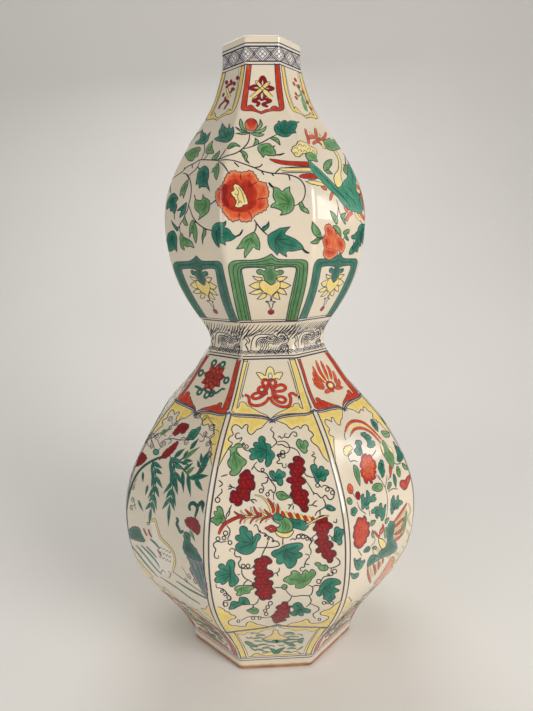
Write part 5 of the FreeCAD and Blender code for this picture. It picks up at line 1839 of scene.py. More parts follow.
bird.fill("dark_green", seen_at(BIRD_SHOULDER), 3.9, 0.4, 0.8, ink=0.35)
for k in range(3):
    fold = seen_at([(281 + k * 3.4, 520.6 + k * 1.6), (283 + k * 3.2, 524.6 + k * 1.3),
                    (281.4 + k * 2.8, 528.6 + k)])
    bird.line(fold, 0.4, 3.8, "dark_green", tone=1.0, taper=0.6)
BIRD_HEAD = [(264.8, 528), (268.2, 526.4), (271, 525), (274.2, 526), (276.8, 528.4), (274.4, 531.4),
             (271, 532.4), (268.4, 530.4)]
bird.fill("iron_red", seen_at(BIRD_HEAD), 3.3, 0.7, 0.8, ink=0.45)
bird.fill("yellow", circle(seen_at([(271, 528.6)])[0], 0.75, 10), 4.2, 0.4, 0.4, ink=0.45)
print("touches on the bird:", bird.touches)

# %% [markdown]
# ## The yellow corners of the tall panels
# Every tall panel has scalloped yellow corners, which run to a point in the middle at the top and bottom. All
# eight share one drawing.

# %% Paint the yellow corners
TOP_LEFT = [(270.4, 418.5), (265.3, 423.8), (261.2, 428.2), (257.1, 429.5), (254.1, 432.6), (251, 434.6),
            (248.3, 432.6), (247.4, 429), (248.2, 425.8), (245.9, 424.4), (243.6, 426.6), (241.8, 429),
            (240, 426.8), (235.2, 424.6), (231.8, 428), (232.3, 432), (233.4, 434.6), (229.8, 436.8),
            (228.3, 440.2), (232.5, 443.3), (229.8, 446.8), (227, 451), (224, 456), (221, 462),
            (216.8, 468.8)]
TOP_RIGHT = [(270.4, 418.5), (275.5, 420.3), (280.6, 422.3), (285.7, 424.4), (288.8, 427.4), (291.8, 429.3),
             (295.7, 427.2), (298.3, 426.2), (300.4, 428.8), (302.8, 425.6), (306.1, 424.9), (308.3, 427),
             (308.6, 430), (312, 432.6), (313.6, 435.4), (311.3, 437.7), (310.9, 440.2), (314.1, 443.8),
             (317.1, 445.8), (318.9, 448.2), (321.4, 453), (324.5, 458), (328.6, 462)]
LOW_LEFT = [(217.9, 606.6), (223.5, 608.9), (225.2, 611.3), (228.6, 612), (230.6, 614.3), (235, 615.8),
            (235.6, 618), (231.6, 619.2), (228.8, 620.8), (228.4, 623.2), (231.8, 625.4), (236.7, 625.7),
            (240.8, 626.5), (245.7, 626), (247, 622.9), (250, 621.6), (254, 622.7), (257.1, 624.2),
            (261.2, 624.9), (266.3, 626.2), (273.5, 627)]
LOW_RIGHT = [(279.6, 627), (286.7, 625.2), (291.8, 623.2), (298, 622.1), (302, 621.1), (306.1, 619.2),
             (308.7, 620.3), (310.4, 623), (317.3, 623), (322.4, 622), (327.4, 619.2), (328.8, 617.2),
             (326.3, 615.6), (321.6, 614.8), (320.3, 612.8), (324.5, 610.4), (329.6, 609.2), (334.7, 604.8),
             (341.8, 600.2)]
FOOT_EDGE = [(-38.6, 63.0), (-31, 64.8), (-23.7, 66.1), (-10, 69), (-4, 71.2), (0, 73.4), (0, 73.4),
             (4, 71.2), (10, 69), (23.7, 66.1), (31, 64.8), (38.6, 63.0)]
CORNER_INSET = 2.6
corners = Panel("lower_bulb", EVERY, drifts=False)


def side_line(low, high, side):
    """Points up or down the side of a panel."""
    places = np.linspace(low, high, 7)
    reach = np.array([half_width_along(along) for along in places]) - CORNER_INSET
    return np.stack([side * reach, places], axis=-1)


def corner_of_panel(edge, side, boundary, top):
    """The yellow between a scalloped edge, the side of the panel and its top or bottom boundary."""
    inward = -1 if top else 1
    scallops = flowing(seen_at(edge), 1.2)
    if abs(scallops[0][0]) > abs(scallops[-1][0]):
        scallops = scallops[::-1]
    line = np.array(boundary, float)
    line = line[line[:, 0] * side > 0.3]
    line = line[np.argsort(-np.abs(line[:, 0]))]
    line[0] = (side * (half_width_along(line[0][1]) - CORNER_INSET), line[0][1])
    flank = side_line(scallops[-1][1], line[0][1] + inward * 1.4, side)
    line[:, 1] += inward * 1.6
    outline = np.concatenate([scallops[1:], flank[1:], line[1:]])
    points, faces = net(even_steps(np.concatenate([outline, outline[:1]]), 1.2)[:-1], 1.6)
    corners.lay("yellow", points, faces, 0.25 + 0.3 * np.clip(gaps_to(outline, points) / 3, 0, 1), 0.2)
    corners.line(scallops, 0.6, 0.9, tone=0.65)


SHOULDER_LINE = [*SHOULDER_EDGE[:5], (-0.5, 231.6), (0.5, 231.6), *SHOULDER_EDGE[7:]]
corner_of_panel(TOP_LEFT, -1, SHOULDER_LINE, True)
corner_of_panel(TOP_RIGHT, 1, SHOULDER_LINE, True)
corner_of_panel(LOW_LEFT, -1, FOOT_EDGE, False)
corner_of_panel(LOW_RIGHT, 1, FOOT_EDGE, False)
corner_lines("lower_bulb", 64, 236.5, 1.9, 0.85, 0.6)
corners.line(FOOT_EDGE, 0.85, 0.6, tone=0.6, taper=0.05)
corners.line(np.array(FOOT_EDGE) * (0.985, 1) - (0, 1.5), 0.7, 0.6, tone=0.5, taper=0.05)
print("yellow corners:", 4 * FACETS)

# %% [markdown]
# ## The panel with the willow and the crane
# The panel left of the front one shows a fruiting willow that hangs over a rocky bank, with a crane below.
# The panel across from it repeats the picture mirrored. The leaves are narrow and pointed.

# %% Paint the willow
willow = Panel("lower_bulb", LIKE_THE_LEFT)
FRUITS = [[(174, 431), (173, 434), (176, 435.4), (180, 432.5), (183, 433.7), (187, 430), (189, 426),
           (187, 424), (182, 423.3), (178, 426), (176, 429)],
          [(178.5, 441.5), (176, 448), (171, 454), (166, 458), (162, 458), (159, 460), (161, 457), (165, 451),
           (170, 447), (175, 443)],
          [(142, 452.5), (146, 456), (146.5, 459), (143, 463), (139, 465.5), (136, 466), (137, 461),
           (139, 456)],
          [(186, 519), (190, 517.5), (196, 519), (199.5, 525), (200, 530), (198, 534.5), (194.5, 532),
           (191, 529), (187, 525.5), (185, 521)]]
for fruit in FRUITS:
    shape = scalloped(left_side(fruit), 3.6, 0.7)
    willow.fill("crimson", shape, 1.2, 0.4, 0.7, ink=0.45)
    for point in shape[::5]:
        middle = shape.mean(0)
        willow.line([point + (middle - point) * 0.2, point + (middle - point) * 0.5], 0.32, 1.9, "crimson",
                    tone=1.3)


def lance(start, end, width, colour="dark_green", level=0.8, rib=True):
    """A narrow pointed leaf from its stalk to its tip."""
    start, end = np.asarray(start, float), np.asarray(end, float)
    way = end - start
    side = np.array([-way[1], way[0]]) / max(np.hypot(*way), 1e-6) * width / 2
    outline = [start, start + way * 0.3 + side, start + way * 0.62 + side * 0.8, end, end,
               start + way * 0.62 - side * 0.8, start + way * 0.3 - side]
    willow.fill(colour, outline, level, 0.5, 0.85, ink=0.16, step=0.9, spacing=2)
    if rib:
        willow.line([start + way * 0.15, start + way * 0.8], 0.3, level + 0.8, colour, tone=1.2, taper=0.5)


TWIGS = [([(152, 460), (155, 470), (156, 480), (155, 490), (153, 500), (151, 510)], 12),
         ([(170, 456), (174, 466), (175, 476), (173, 486), (171, 496), (169.6, 506)], 14)]
LEAF_PAIRS = 6
for path, size in TWIGS:
    twig = flowing(left_side(path), 1.0)
    willow.line(twig, 0.9, 0.4, "dark_green", tone=0.95, taper=0.4)
    for k in range(LEAF_PAIRS):
        spot = int((k + 0.35) / LEAF_PAIRS * (len(twig) - 2))
        way = twig[spot + 1] - twig[spot]
        way = way / np.hypot(*way)
        for side in (-1, 1):
            out = way * 0.8 + np.array([-way[1], way[0]]) * side * (0.5 + 0.12 * (k % 2))
            reach = size * (1.0 - 0.04 * k) * (1 + 0.14 * side * (-1) ** k)
            lance(twig[spot], twig[spot] + out * reach, 3.0, level=0.8 + 0.3 * (k % 2), rib=False)
    lance(twig[-2], twig[-1] + way * size, 3.2)
SIDE_TWIGS = ([(172, 462), (178, 464), (184, 470), (190, 477)],
              [(193, 478), (198, 472), (202, 464), (205, 457)], [(176, 462), (182, 459), (186, 455)])
for path in SIDE_TWIGS:
    willow.line(left_side(path), 1.1, 0.4, "dark_green", tone=0.95, taper=0.4)
SINGLE_LEAVES = (((189, 478), (208.4, 475.6), 4.2, "dark_green"),
                 ((187.6, 474), (190.6, 496), 3.6, "dark_green"),
                 ((182.6, 471), (183.6, 492), 3.6, "dark_green"),
                 ((195, 479), (202.6, 490.8), 3.6, "dark_green"),
                 ((190, 449.4), (198.8, 438.6), 3.6, "dark_green"),
                 ((183, 459), (199.6, 447.2), 3.4, "light_green"),
                 ((174.4, 457), (184.8, 448.8), 3.8, "dark_green"),
                 ((183.4, 458), (188.4, 450), 2.6, "dark_green"),
                 ((184, 460.6), (192.6, 461), 2.6, "dark_green"),
                 ((181, 462), (188.6, 464.6), 2.4, "dark_green"),
                 ((183, 470.6), (193, 463), 2.8, "dark_green"),
                 ((186, 474), (194.8, 466.8), 3.2, "light_green"),
                 ((201.6, 466), (209.2, 450.4), 3.8, "dark_green"),
                 ((201.4, 463), (201.2, 453), 2.8, "dark_green"),
                 ((199.6, 467.6), (197.6, 460.4), 2.6, "dark_green"),
                 ((202, 468), (210.6, 455), 3.4, "dark_green"), ((198, 473.6), (207, 465), 3.2, "dark_green"),
                 ((174, 476), (177.8, 490.4), 3.4, "dark_green"), ((143, 472), (143, 482), 2.6, "dark_green"),
                 ((148, 485), (145.6, 495), 2.6, "dark_green"), ((138, 500), (143, 511), 2.6, "dark_green"),
                 ((160, 434), (170, 429), 3.4, "light_green"), ((190, 530), (195, 541), 2.8, "light_green"),
                 ((202, 500), (203, 513), 2.6, "dark_green"))
for start, end, width, colour in SINGLE_LEAVES:
    lance(*left_side([start, end]), width, colour)
LARGE_LEAF = [(187, 439.5), (189, 434), (192, 430), (196, 429), (199, 427), (201, 428), (198.5, 433),
              (196, 437), (192, 439.5)]
veined_leaf(willow, "dark_green", left_side(LARGE_LEAF), veins=3, level=1)
willow.fill("dark_green", oval(left_side([(156, 452)])[0], 7, 4.2), 1, 0.3, 0.8, ink=0.45)
BENT_BRANCH = [(161, 457), (150, 462), (140, 470), (133, 482), (129, 495), (126.5, 510), (126.5, 525)]
willow.line(left_side(BENT_BRANCH), 1.9, 0.5, "dark_green", tone=0.7, taper=0.3, edged=0.35)
GREEN_CURLS = ([(190.6, 510.4), (189.2, 507), (191, 503.6), (194.6, 503.6), (197.4, 507.6), (196.6, 512),
                (195, 517)], [(197, 509), (199, 504.6), (202, 502.4), (203.6, 505), (202, 507.4)],
               [(176, 518), (178, 520), (176.8, 524), (178.6, 528), (180.4, 532), (183.6, 531)])
for path in GREEN_CURLS:
    willow.line(left_side(path), 2.3, 0.9, "dark_green", tone=0.75, taper=0.4, edged=0.3)
TENDRILS = [[(166, 436), (160, 433), (154, 437), (148, 439), (143, 444)],
            [(164, 440), (172, 438.6), (180, 440), (187, 439.6)],
            [(190, 413), (196, 412), (201, 415), (198, 418.4), (194.6, 416)],
            [(200, 427), (204, 420), (208, 417)],
            [(208, 418), (212.6, 424), (214, 432), (209.6, 437), (205, 436), (206.6, 432)],
            [(205, 436), (203, 441), (199, 441)], [(172, 435), (169, 438), (171.6, 441), (168, 444)],
            [(143, 440), (147, 434.6), (151.6, 433), (154.6, 435.6), (151.6, 438.4)],
            [(151, 438), (153, 444), (155, 449)], [(164, 440), (159.6, 444.6), (162.6, 447.6)],
            [(179, 441), (183, 437.6), (187, 439)], [(209, 438), (212, 444), (209, 450), (213, 455)],
            [(134, 466), (130.6, 473), (131.6, 479)]]
for path in TENDRILS:
    willow.line(left_side(path), 0.55, 0.4, tone=0.6)
CURLS = [(170, 419, 5, 20, 1), (176, 423.4, 4, 200, -1), (205, 418, 5, 60, 1), (212, 427, 5.4, 120, -1),
         (205, 434, 5, 240, 1), (196, 415.6, 4.4, 150, -1), (145, 441, 5, 30, 1), (150, 436, 4.4, 200, 1),
         (157, 436, 4.8, 90, -1), (163.6, 431.6, 4, 300, 1), (164, 444, 4.6, 10, -1), (186.6, 442, 5, 140, 1),
         (193, 438, 4, 320, -1), (208, 444, 4.4, 60, 1), (152, 446, 4.2, 180, 1), (132.6, 500, 4.6, 0, 1),
         (131.6, 508, 4.4, 90, 1), (133, 487, 4.4, 200, -1), (210, 455, 4, 0, -1), (170.4, 428, 4, 100, 1)]
for x, y, size, degrees, flip in CURLS:
    curl(willow, left_side([(x, y)])[0], size, degrees, flip)
print("touches on the willow:", willow.touches)

# %% Paint the crane and the bank
CRANE = [(150, 521), (155.4, 521), (158, 528), (161, 538), (168.6, 546), (173.4, 553), (175.4, 562),
         (173.6, 570), (166, 575), (157, 575), (149, 569), (143, 560), (142, 550), (147, 543), (152, 536),
         (152, 528)]
willow.fill("white", left_side(CRANE), 0.3, 0.3, 0.1, ink=0)
CRANE_EDGE = [(151, 521.6), (155, 520), (158, 530), (161, 538), (168.6, 546), (173.4, 553), (175, 562),
              (172.6, 571)]
willow.line(left_side(CRANE_EDGE), 2.1, 1.0, "yellow", tone=0.45, taper=0.3, edged=0.32)
CRANE_WING = (([(132, 546), (140, 556), (150, 568), (158, 577)], 2.2),
              ([(136, 545), (144, 554), (153, 565), (162, 575)], 2.4),
              ([(141, 545), (148, 552), (156, 561), (160, 568)], 2.2),
              ([(146, 546), (152, 552), (157, 558)], 1.8), ([(137, 552), (146, 564), (154, 573)], 1.4),
              ([(150, 539), (155, 543), (160, 549)], 2.0))
for path, width in CRANE_WING:
    willow.line(left_side(path), width, 1.2, "dark_green", tone=0.35, taper=0.75, edged=0.24)
for k in range(12):
    x, y = 160 + (k % 4) * 3.2, 546 + (k // 4) * 4.6 + (k % 4) * 1.6
    willow.line(left_side([(x - 1.4, y), (x, y + 2), (x + 1.6, y + 0.6)]), 0.4, 1.2, tone=0.7)
CRANE_INK = ([(166, 574), (163, 570), (160, 573), (157, 569)], [(168, 571), (171, 574), (169, 578)],
             [(150, 522), (146.4, 522.6)], [(149.6, 523.4), (147, 525)])
for path in CRANE_INK:
    willow.line(left_side(path), 0.5, 1.5, tone=0.8)
CRANE_RED = ([(143.6, 528), (145, 532), (147.4, 536)], [(148.6, 529), (149.6, 533), (152, 537.6)],
             [(157.6, 549), (159, 552), (161.6, 555.6)])
for path in CRANE_RED:
    willow.line(left_side(path), 2.0, 1.4, "iron_red", tone=0.6, taper=0.6, edged=0.2)
ROCK = [(127, 520), (128, 530), (133, 527), (139, 528), (142, 535), (145, 541), (139, 541), (131, 538),
        (128, 536)]
ROCK_TOP = [(184, 533.6), (187.6, 532.5), (190.2, 536), (190, 541), (193, 546), (196, 549), (199, 555),
            (201.4, 559), (198, 560), (193, 558.6), (188, 556), (184, 551), (183.2, 546), (184.4, 540)]
ROCK_FOOT = [(187, 555), (194, 558), (201, 558.6), (203, 568), (204.6, 577), (206.4, 588), (207, 598),
             (203, 592.6), (200, 587), (197, 582), (194, 577), (190, 570), (191, 566), (189, 561)]
willow.fill("dark_green", scalloped(left_side(ROCK), 4.0, 0.7), 0.9, 0.4, 0.8, ink=0.5)
willow.fill("ink", scalloped(left_side(ROCK_FOOT), 4.4, 0.8), 0.7, 0.12, 0.26, ink=0.4)
willow.fill("dark_green", scalloped(left_side(ROCK_TOP), 4.4, 0.7), 1.3, 0.45, 0.9, ink=0.5)
ROCK_STROKES = ([(189.6, 559), (194.6, 570), (199, 581), (204.6, 592)],
                [(195, 560.6), (199, 571), (203, 584)], [(199.4, 561), (202, 570), (204, 579)])
for path in ROCK_STROKES:
    willow.line(left_side(path), 1.7, 1.2, "dark_green", tone=0.55, taper=0.6)
WATER_LINES = (([(166, 581), (177, 588), (189, 597), (200, 604)], 2.2),
               ([(176, 581), (187, 588), (198, 594), (208, 599)], 2.0),
               ([(160, 577), (170, 583), (181, 591)], 1.0),
               ([(172, 571), (183, 579), (194, 587), (205, 595)], 0.9))
for path, width in WATER_LINES:
    willow.line(left_side(path), width, 0.5, "dark_green", tone=0.75, taper=0.5)
for x, y, size, degrees, flip in ((189, 576, 5, 200, 1), (195, 581, 4.6, 160, -1), (186, 580, 4.2, 240, 1)):
    curl(willow, left_side([(x, y)])[0], size, degrees, flip)
print("touches with the crane and the bank:", willow.touches)

# %% [markdown]
# ## The panel with the peonies and the phoenix
# The last design, on two panels, has peonies of several sizes among their leaves, red and yellow ribbons at
# the top, and a phoenix that sweeps down across the bottom.

# %% Paint the peonies of the tall panel
garden = Panel("lower_bulb", LIKE_THE_RIGHT)
TOP_RIBBONS = ([(345, 432), (347.5, 425.4), (352, 421.5), (357, 421), (363, 422.5), (370, 427.5),
                (376, 433.5), (381.5, 439.5)],
               [(351, 434), (354, 429.8), (359, 428), (365, 429), (371, 432.5), (376, 437.5), (381, 443)])
for path in TOP_RIBBONS:
    garden.line(right_side(path), 2.3, 0.6, "iron_red", tone=0.45, taper=0.45, edged=0.2)
YELLOW_RIBBON = [(348.6, 430), (353, 425.6), (359, 424.6), (366, 426), (372.6, 431), (378, 437)]
garden.line(right_side(YELLOW_RIBBON), 2.0, 0.2, "yellow", tone=0.35, taper=0.3)
GARDEN_STEMS = ([(345, 432), (344.4, 436), (346, 440)], [(351, 434), (350, 437)], [(362, 433), (366, 432)],
                [(378, 475), (382, 482), (386, 490), (387.6, 504), (386, 520)],
                [(387, 475), (386.4, 481), (385, 488)], [(350, 462), (354, 460.6), (358, 462)],
                [(376, 450), (374.4, 453), (372, 456)], [(376, 474), (380, 480)],
                [(357, 502), (360, 509), (366, 514)], [(371, 546), (375, 541), (374, 536)],
                [(352, 492), (355, 497)], [(388, 492), (392, 489), (398, 489)], [(363, 456), (361, 449)],
                [(369, 510), (370, 516)], [(386, 459), (382, 452), (380, 445)],
                [(392, 468), (391, 474), (388, 480)], [(376, 419), (378, 425)],
                [(391, 459), (396, 464), (401, 463)], [(352, 452), (348, 457), (351, 462)],
                [(358, 550), (362, 556)])
for path in GARDEN_STEMS:
    garden.line(right_side(path), 0.6, 0.3, tone=0.6)
DARK_LEAVES = [[(363, 509.6), (361.8, 507.6), (361.6, 503), (361.2, 499), (361.6, 495), (363.6, 494.6),
                (364.4, 498.6), (366.6, 496.4), (366.2, 491.6), (368, 491), (369.4, 494.4), (369.6, 498),
                (372.6, 495), (375, 494.4), (374.6, 497), (376.4, 499), (373.6, 501.4), (370, 502),
                (368.4, 504.6), (368.6, 508.4), (366.4, 509), (364.8, 506)],
               [(371, 511.6), (374, 508.6), (376.4, 506.6), (378.6, 507.6), (379.6, 504), (381.6, 503.6),
                (382, 507.6), (383.6, 509), (384.6, 505), (386, 504.6), (385.4, 509), (385, 513), (384, 518),
                (381.6, 520.8), (380.6, 517.4), (379, 515.4), (377, 518.6), (375.6, 516), (375.6, 512.4),
                (373, 513.4)],
               [(392, 514.4), (390.6, 511), (390.8, 506), (391, 501), (393, 496), (394, 495.6), (394.6, 499),
                (396.6, 501), (397, 496), (398.4, 496), (398.8, 500), (401.4, 500.8), (402.6, 503),
                (399.6, 505.6), (397.6, 509), (396, 507.6), (394, 510)],
               [(350.6, 512), (352, 508.6), (355, 507.6), (357, 509.6), (356.4, 512.6), (353.8, 515.8),
                (351.6, 514.4)],
               [(360.4, 433.6), (364, 433), (368, 434.6), (371, 437.6), (370.4, 440.6), (373, 441),
                (375.2, 443.6), (373.4, 446.6), (370.4, 447.6), (367.4, 446.6), (367.6, 442.6), (365.6, 439),
                (362, 436)],
               [(361.4, 454), (358.4, 455.4), (355.8, 453), (354.4, 450), (357, 447.4), (356, 444.4),
                (355.4, 441.6), (358.6, 440.4), (361.8, 442.4), (360.4, 446.4), (361.8, 450)],
               [(371, 419), (374.6, 421.6), (377.4, 426), (378, 431.6), (378, 431.6), (374.6, 428.6),
                (371.6, 423.6)],
               [(393, 441), (396, 445.6), (399.6, 449), (401, 452), (404, 454), (403, 458), (400, 461.8),
                (397, 460), (397.4, 454.6), (395.6, 449.6)],
               [(381.4, 459.6), (383.4, 463), (384, 468), (384.6, 472), (382.6, 477.6), (380.4, 473.6),
                (378.2, 468.6), (379, 463.4)],
               [(393.4, 473.6), (396.4, 479.6), (395.8, 487.6), (395.8, 487.6), (393.4, 481)],
               [(363.5, 552), (365, 548.6), (368, 546.4), (370.4, 548), (368.4, 551.6)],
               [(354, 558), (357, 561), (361, 557.5), (360, 562), (365, 560), (362, 567), (358, 570),
                (355, 566)], [(350.6, 573), (354, 574), (358.6, 573), (357.6, 577), (353, 578.6)],
               [(381, 412), (385, 417), (386.6, 424), (383, 421)]]
LIGHT_LEAVES = [[(382, 440), (386, 444), (389, 450), (393, 455), (394, 462), (392, 469), (389, 464),
                 (385, 457), (384, 450)],
                [(381, 431.6), (385, 431), (389.4, 434), (388.4, 437.4), (384, 436.6)],
                [(353.6, 465), (357.6, 467.6), (359.4, 473), (360, 480), (360, 486), (360, 486), (356.6, 480),
                 (354, 473)], [(397, 466), (400.4, 471), (399.6, 477), (396.6, 473)],
                [(372, 488.6), (373.4, 485), (376.6, 483.4), (380, 483.4), (382.6, 486), (382, 489.6),
                 (378.6, 491.6), (374.6, 490.6)],
                [(387.4, 487), (388.6, 482.4), (391.6, 483), (390.4, 487), (388, 489.6)],
                [(346.6, 500), (349.4, 497.6), (352, 500.6), (351.6, 504), (348.6, 504)],
                [(371, 521), (375.6, 520.4), (374, 524), (371, 526)],
                [(386, 527), (387.4, 532), (385.4, 538.6), (384, 533)],
                [(372.6, 530), (374, 534), (373, 538), (371.4, 535)],
                [(372, 547.6), (375, 546), (377, 548), (374, 549.4)],
                [(406.6, 511), (406.4, 520), (404.6, 530), (401.6, 536), (400.6, 530), (403.4, 520)],
                [(402, 463), (406, 465.6), (407.4, 470), (403.6, 468)],
                [(385, 520), (389, 517.6), (388, 521), (385.6, 524)]]
for leaf in DARK_LEAVES:
    shape = right_side(leaf)
    large = len(leaf) > 6
    veined_leaf(garden, "dark_green", scalloped(shape, 3.6, 0.7) if large else shape, veins=4 if large else 2,
                level=1)
for leaf in LIGHT_LEAVES:
    veined_leaf(garden, "light_green", right_side(leaf), veins=2, level=0.8)
FLOWERS = [([(363, 455), (365.6, 453.4), (367, 455.4), (369.6, 454.4), (371.6, 456.4), (372.6, 459),
             (375, 461), (375.6, 464), (376.4, 467), (375, 469.6), (376.4, 472), (374.8, 474.4), (376, 477),
             (374, 479.6), (372, 479.6), (372.8, 482.8), (370.6, 483.6), (369.4, 481), (367.6, 480.8),
             (367.8, 483.4), (365.6, 483.4), (364, 481), (363.4, 478), (361.4, 476.4), (361, 473.6),
             (360.2, 471), (361.8, 469), (360, 466.6), (360, 463.6), (361.4, 460.6), (361.2, 457.6)], 0.85,
            0.3, (368, 468.6)),
           ([(358, 517.6), (360.4, 517.4), (362.6, 518), (364, 515.4), (366.4, 518), (366.6, 521.6),
             (369.2, 522.4), (369.6, 526), (368.6, 529), (369.8, 532.4), (368.4, 536), (366.6, 538),
             (366.4, 541.6), (364.4, 543.6), (362.4, 546.4), (359, 548.8), (356.4, 547.6), (354.4, 546),
             (353.6, 542.6), (354.4, 539.6), (352.8, 537), (353.2, 533.4), (354, 530), (353.6, 527),
             (355.4, 524.4), (356.4, 521)], 1.15, 0.5, (361.2, 532.4)),
           ([(400, 482), (401.6, 480), (405, 480), (407, 476.6), (409.6, 475), (410.2, 478), (409.4, 481.6),
             (408, 485), (406.6, 488.6), (404, 490), (401.6, 488), (399.8, 485.4)], 0.8, 0.4, (405, 484))]
for outline, rim, inner, heart in FLOWERS:
    shape, heart = right_side(outline), right_side([heart])[0]
    garden.fill("iron_red", shape, 1.4, rim, inner, ink=0.35, step=0.9, spacing=1.5)
    for k, point in enumerate(flowing(shape, 4.6, closed=True)[:-1]):
        garden.line([point + (heart - point) * 0.1, point + (heart - point) * (0.5 + 0.12 * (k % 2))], 0.34,
                    2.1, "iron_red", tone=0.95, taper=0.7)
    for share in (0.16, 0.34):
        garden.line(scalloped(heart + (shape - heart) * share, 2.4, 0.4), 0.34, 2.3, "iron_red", tone=0.95,
                    closed=True)
YELLOW_BLOSSOM = [(344, 448), (347, 446), (350.6, 445.6), (352, 449), (349, 452), (346.4, 456), (344, 453)]
garden.fill("yellow", scalloped(right_side(YELLOW_BLOSSOM), 3.2, 0.9), 0.6, 0.2, 0.05, ink=0.35)
YELLOW_EDGES = ([(379.6, 443), (383, 446), (386.4, 453), (383.6, 453.8), (381.4, 449)],
                [(387.4, 446), (391.6, 449), (393, 453.8), (390, 453.4)])
for outline in YELLOW_EDGES:
    garden.fill("yellow", right_side(outline), 0.5, 0.1, 0.2, ink=0.25, spacing=1.8)
SMALL_BUDS = (("iron_red",
               [(347.4, 487), (348.6, 484), (350.4, 484), (352.6, 487), (353.2, 490.6), (351.4, 493.8),
                (349, 493), (347.6, 490.4)]),
              ("crimson",
               [(355.4, 494), (356.6, 492), (359, 492), (360.2, 496), (359.4, 499.4), (357, 499.4),
                (355.6, 497)]),
              ("iron_red",
               [(389, 466.4), (390.6, 465.6), (391.8, 469), (391.4, 473), (390.4, 477.4), (390.4, 477.4),
                (389.4, 472)]))
for colour, outline in SMALL_BUDS:
    garden.fill(colour, right_side(outline), 1.2, 0.3, 0.5, ink=0.4, spacing=1.8)
print("touches on the peonies:", garden.touches)

# %% Paint the low phoenix
LOW_BODY = [(389, 523), (391.6, 521.4), (394.4, 524), (393.8, 531), (393, 538), (396.6, 545), (396.2, 550),
            (391, 554), (384, 556.8), (378, 560), (371, 564.4), (367.5, 566.6), (368, 560.4), (372, 555),
            (377, 555.6), (381, 550), (385.6, 546.6), (387.4, 540), (386.6, 532)]
RED_FEATHERS = ([(393.5, 522.5), (400, 514), (407, 503)], [(394, 527.4), (398, 524), (404, 517.6)],
             [(394, 534.4), (399.6, 531), (404, 526)], [(393.4, 541), (398.6, 538), (402, 534.6)])
for path in RED_FEATHERS:
    garden.line(right_side(path), 2.8, 1.2, "iron_red", tone=0.5, taper=0.6, edged=0.24)
YELLOW_FEATHERS = ([(394, 525), (400, 518.6), (406.4, 509)], [(394.2, 531), (399.6, 527), (404, 522)],
             [(394, 537.6), (399, 534.4), (403, 530.6)])
for path in YELLOW_FEATHERS:
    garden.line(right_side(path), 1.6, 1.0, "yellow", tone=0.4, taper=0.5, edged=0.25)
TAIL_BAND = [(374, 583), (380, 575.6), (386, 566), (391.6, 557.6), (394.2, 558.4), (390.4, 568),
             (384.6, 575.6), (377.6, 582.6)]
garden.fill("iron_red", right_side(TAIL_BAND), 1.0, 0.05, 0.15, ink=0.5)
TAIL_RED = ([(367.8, 566), (368, 574), (370.6, 583)], [(373, 564), (374.6, 569), (375, 575)],
             [(378, 561), (378.8, 565), (378.6, 569.6)], [(382.4, 558.6), (383, 561), (382.6, 563.6)])
for path in TAIL_RED:
    garden.line(right_side(path), 2.2, 1.2, "iron_red", tone=0.6, taper=0.6, edged=0.3)
TAIL_YELLOW = ([(370.2, 566), (371, 571), (372.6, 577)], [(375.6, 563.6), (376.8, 568), (376.8, 572.4)],
             [(380.2, 561), (380.8, 564.6), (380.6, 567)])
for path in TAIL_YELLOW:
    garden.line(right_side(path), 1.5, 1.0, "yellow", tone=0.4, taper=0.5, edged=0.25)
garden.fill("dark_green", scalloped(right_side(LOW_BODY), 3.8, 0.6), 1.8, 0.35, 0.75, ink=0.5)
for k in range(9):
    x, y = 391.6 - k * 2.2, 545.6 + k * 1.5
    garden.line(right_side([(x - 1.2, y - 1.8), (x + 1.4, y - 0.2), (x - 0.4, y + 2.2)]), 0.42, 2.6,
                "dark_green", tone=1.2)
BREAST = [(378.6, 538.6), (383, 539.6), (385.8, 544), (383, 549.4), (379.6, 545.4)]
garden.fill("yellow", right_side(BREAST), 2.0, 0.3, 0.5, ink=0.5)
CREST_RED = ([(374.4, 531), (376.6, 534.6), (379.4, 537.6)], [(379.4, 537), (380.4, 530.6), (384, 525.6)],
             [(381, 534), (383.4, 529.4), (382.4, 524)])
for path in CREST_RED:
    garden.line(right_side(path), 1.9, 2.2, "iron_red", tone=0.5, taper=0.5, edged=0.2)
YELLOW_STREAMERS = ([(408.4, 503), (410.4, 511), (408, 518), (410.6, 526)],
                    [(406.6, 530), (409, 536), (406, 542)],
                    [(402, 546), (405.6, 551), (402, 556), (404.6, 562)],
                    [(398, 563), (400.6, 569), (396.6, 574)])
for path in YELLOW_STREAMERS:
    garden.line(right_side(path), 1.5, 0.8, "yellow", tone=0.45, taper=0.5, edged=0.25)
print("touches with the low phoenix:", garden.touches)

# %% [markdown]
# ## The foot panels
# The sloping panels over the foot stand in yellow and red frames by turns. Inside, a pale yellow peak rises
# out of a sea of green brush marks.

# %% Paint the foot panels
def foot_bar(side):
    return [(side * 36.0, 63.0), (side * 36.0, 63.0), (side * 32.2, 40), (side * 28.0, 15.6),
            (side * 28.0, 15.6), (side * 23.6, 15.4), (side * 23.6, 15.4), (side * 27.6, 40),
            (side * 31.4, 62.6), (side * 31.4, 62.6)]


def foot_top(side):
    return [(side * 35.6, 62.6), (side * 35.6, 62.6), (side * 24, 64.6), (side * 10, 67.4), (side * 4, 69.6),
            (side * 0.4, 71.4), (side * 0.4, 71.4), (side * 1.6, 68.6), (side * 5.3, 65.4),
            (side * 8.4, 64.6), (side * 11.1, 62.4), (side * 13.2, 60), (side * 15.8, 59),
            (side * 18.2, 60.6), (side * 20.6, 61.4), (side * 23.2, 58.8), (side * 25.6, 56.6),
            (side * 28.6, 57.6), (side * 29.6, 60)]


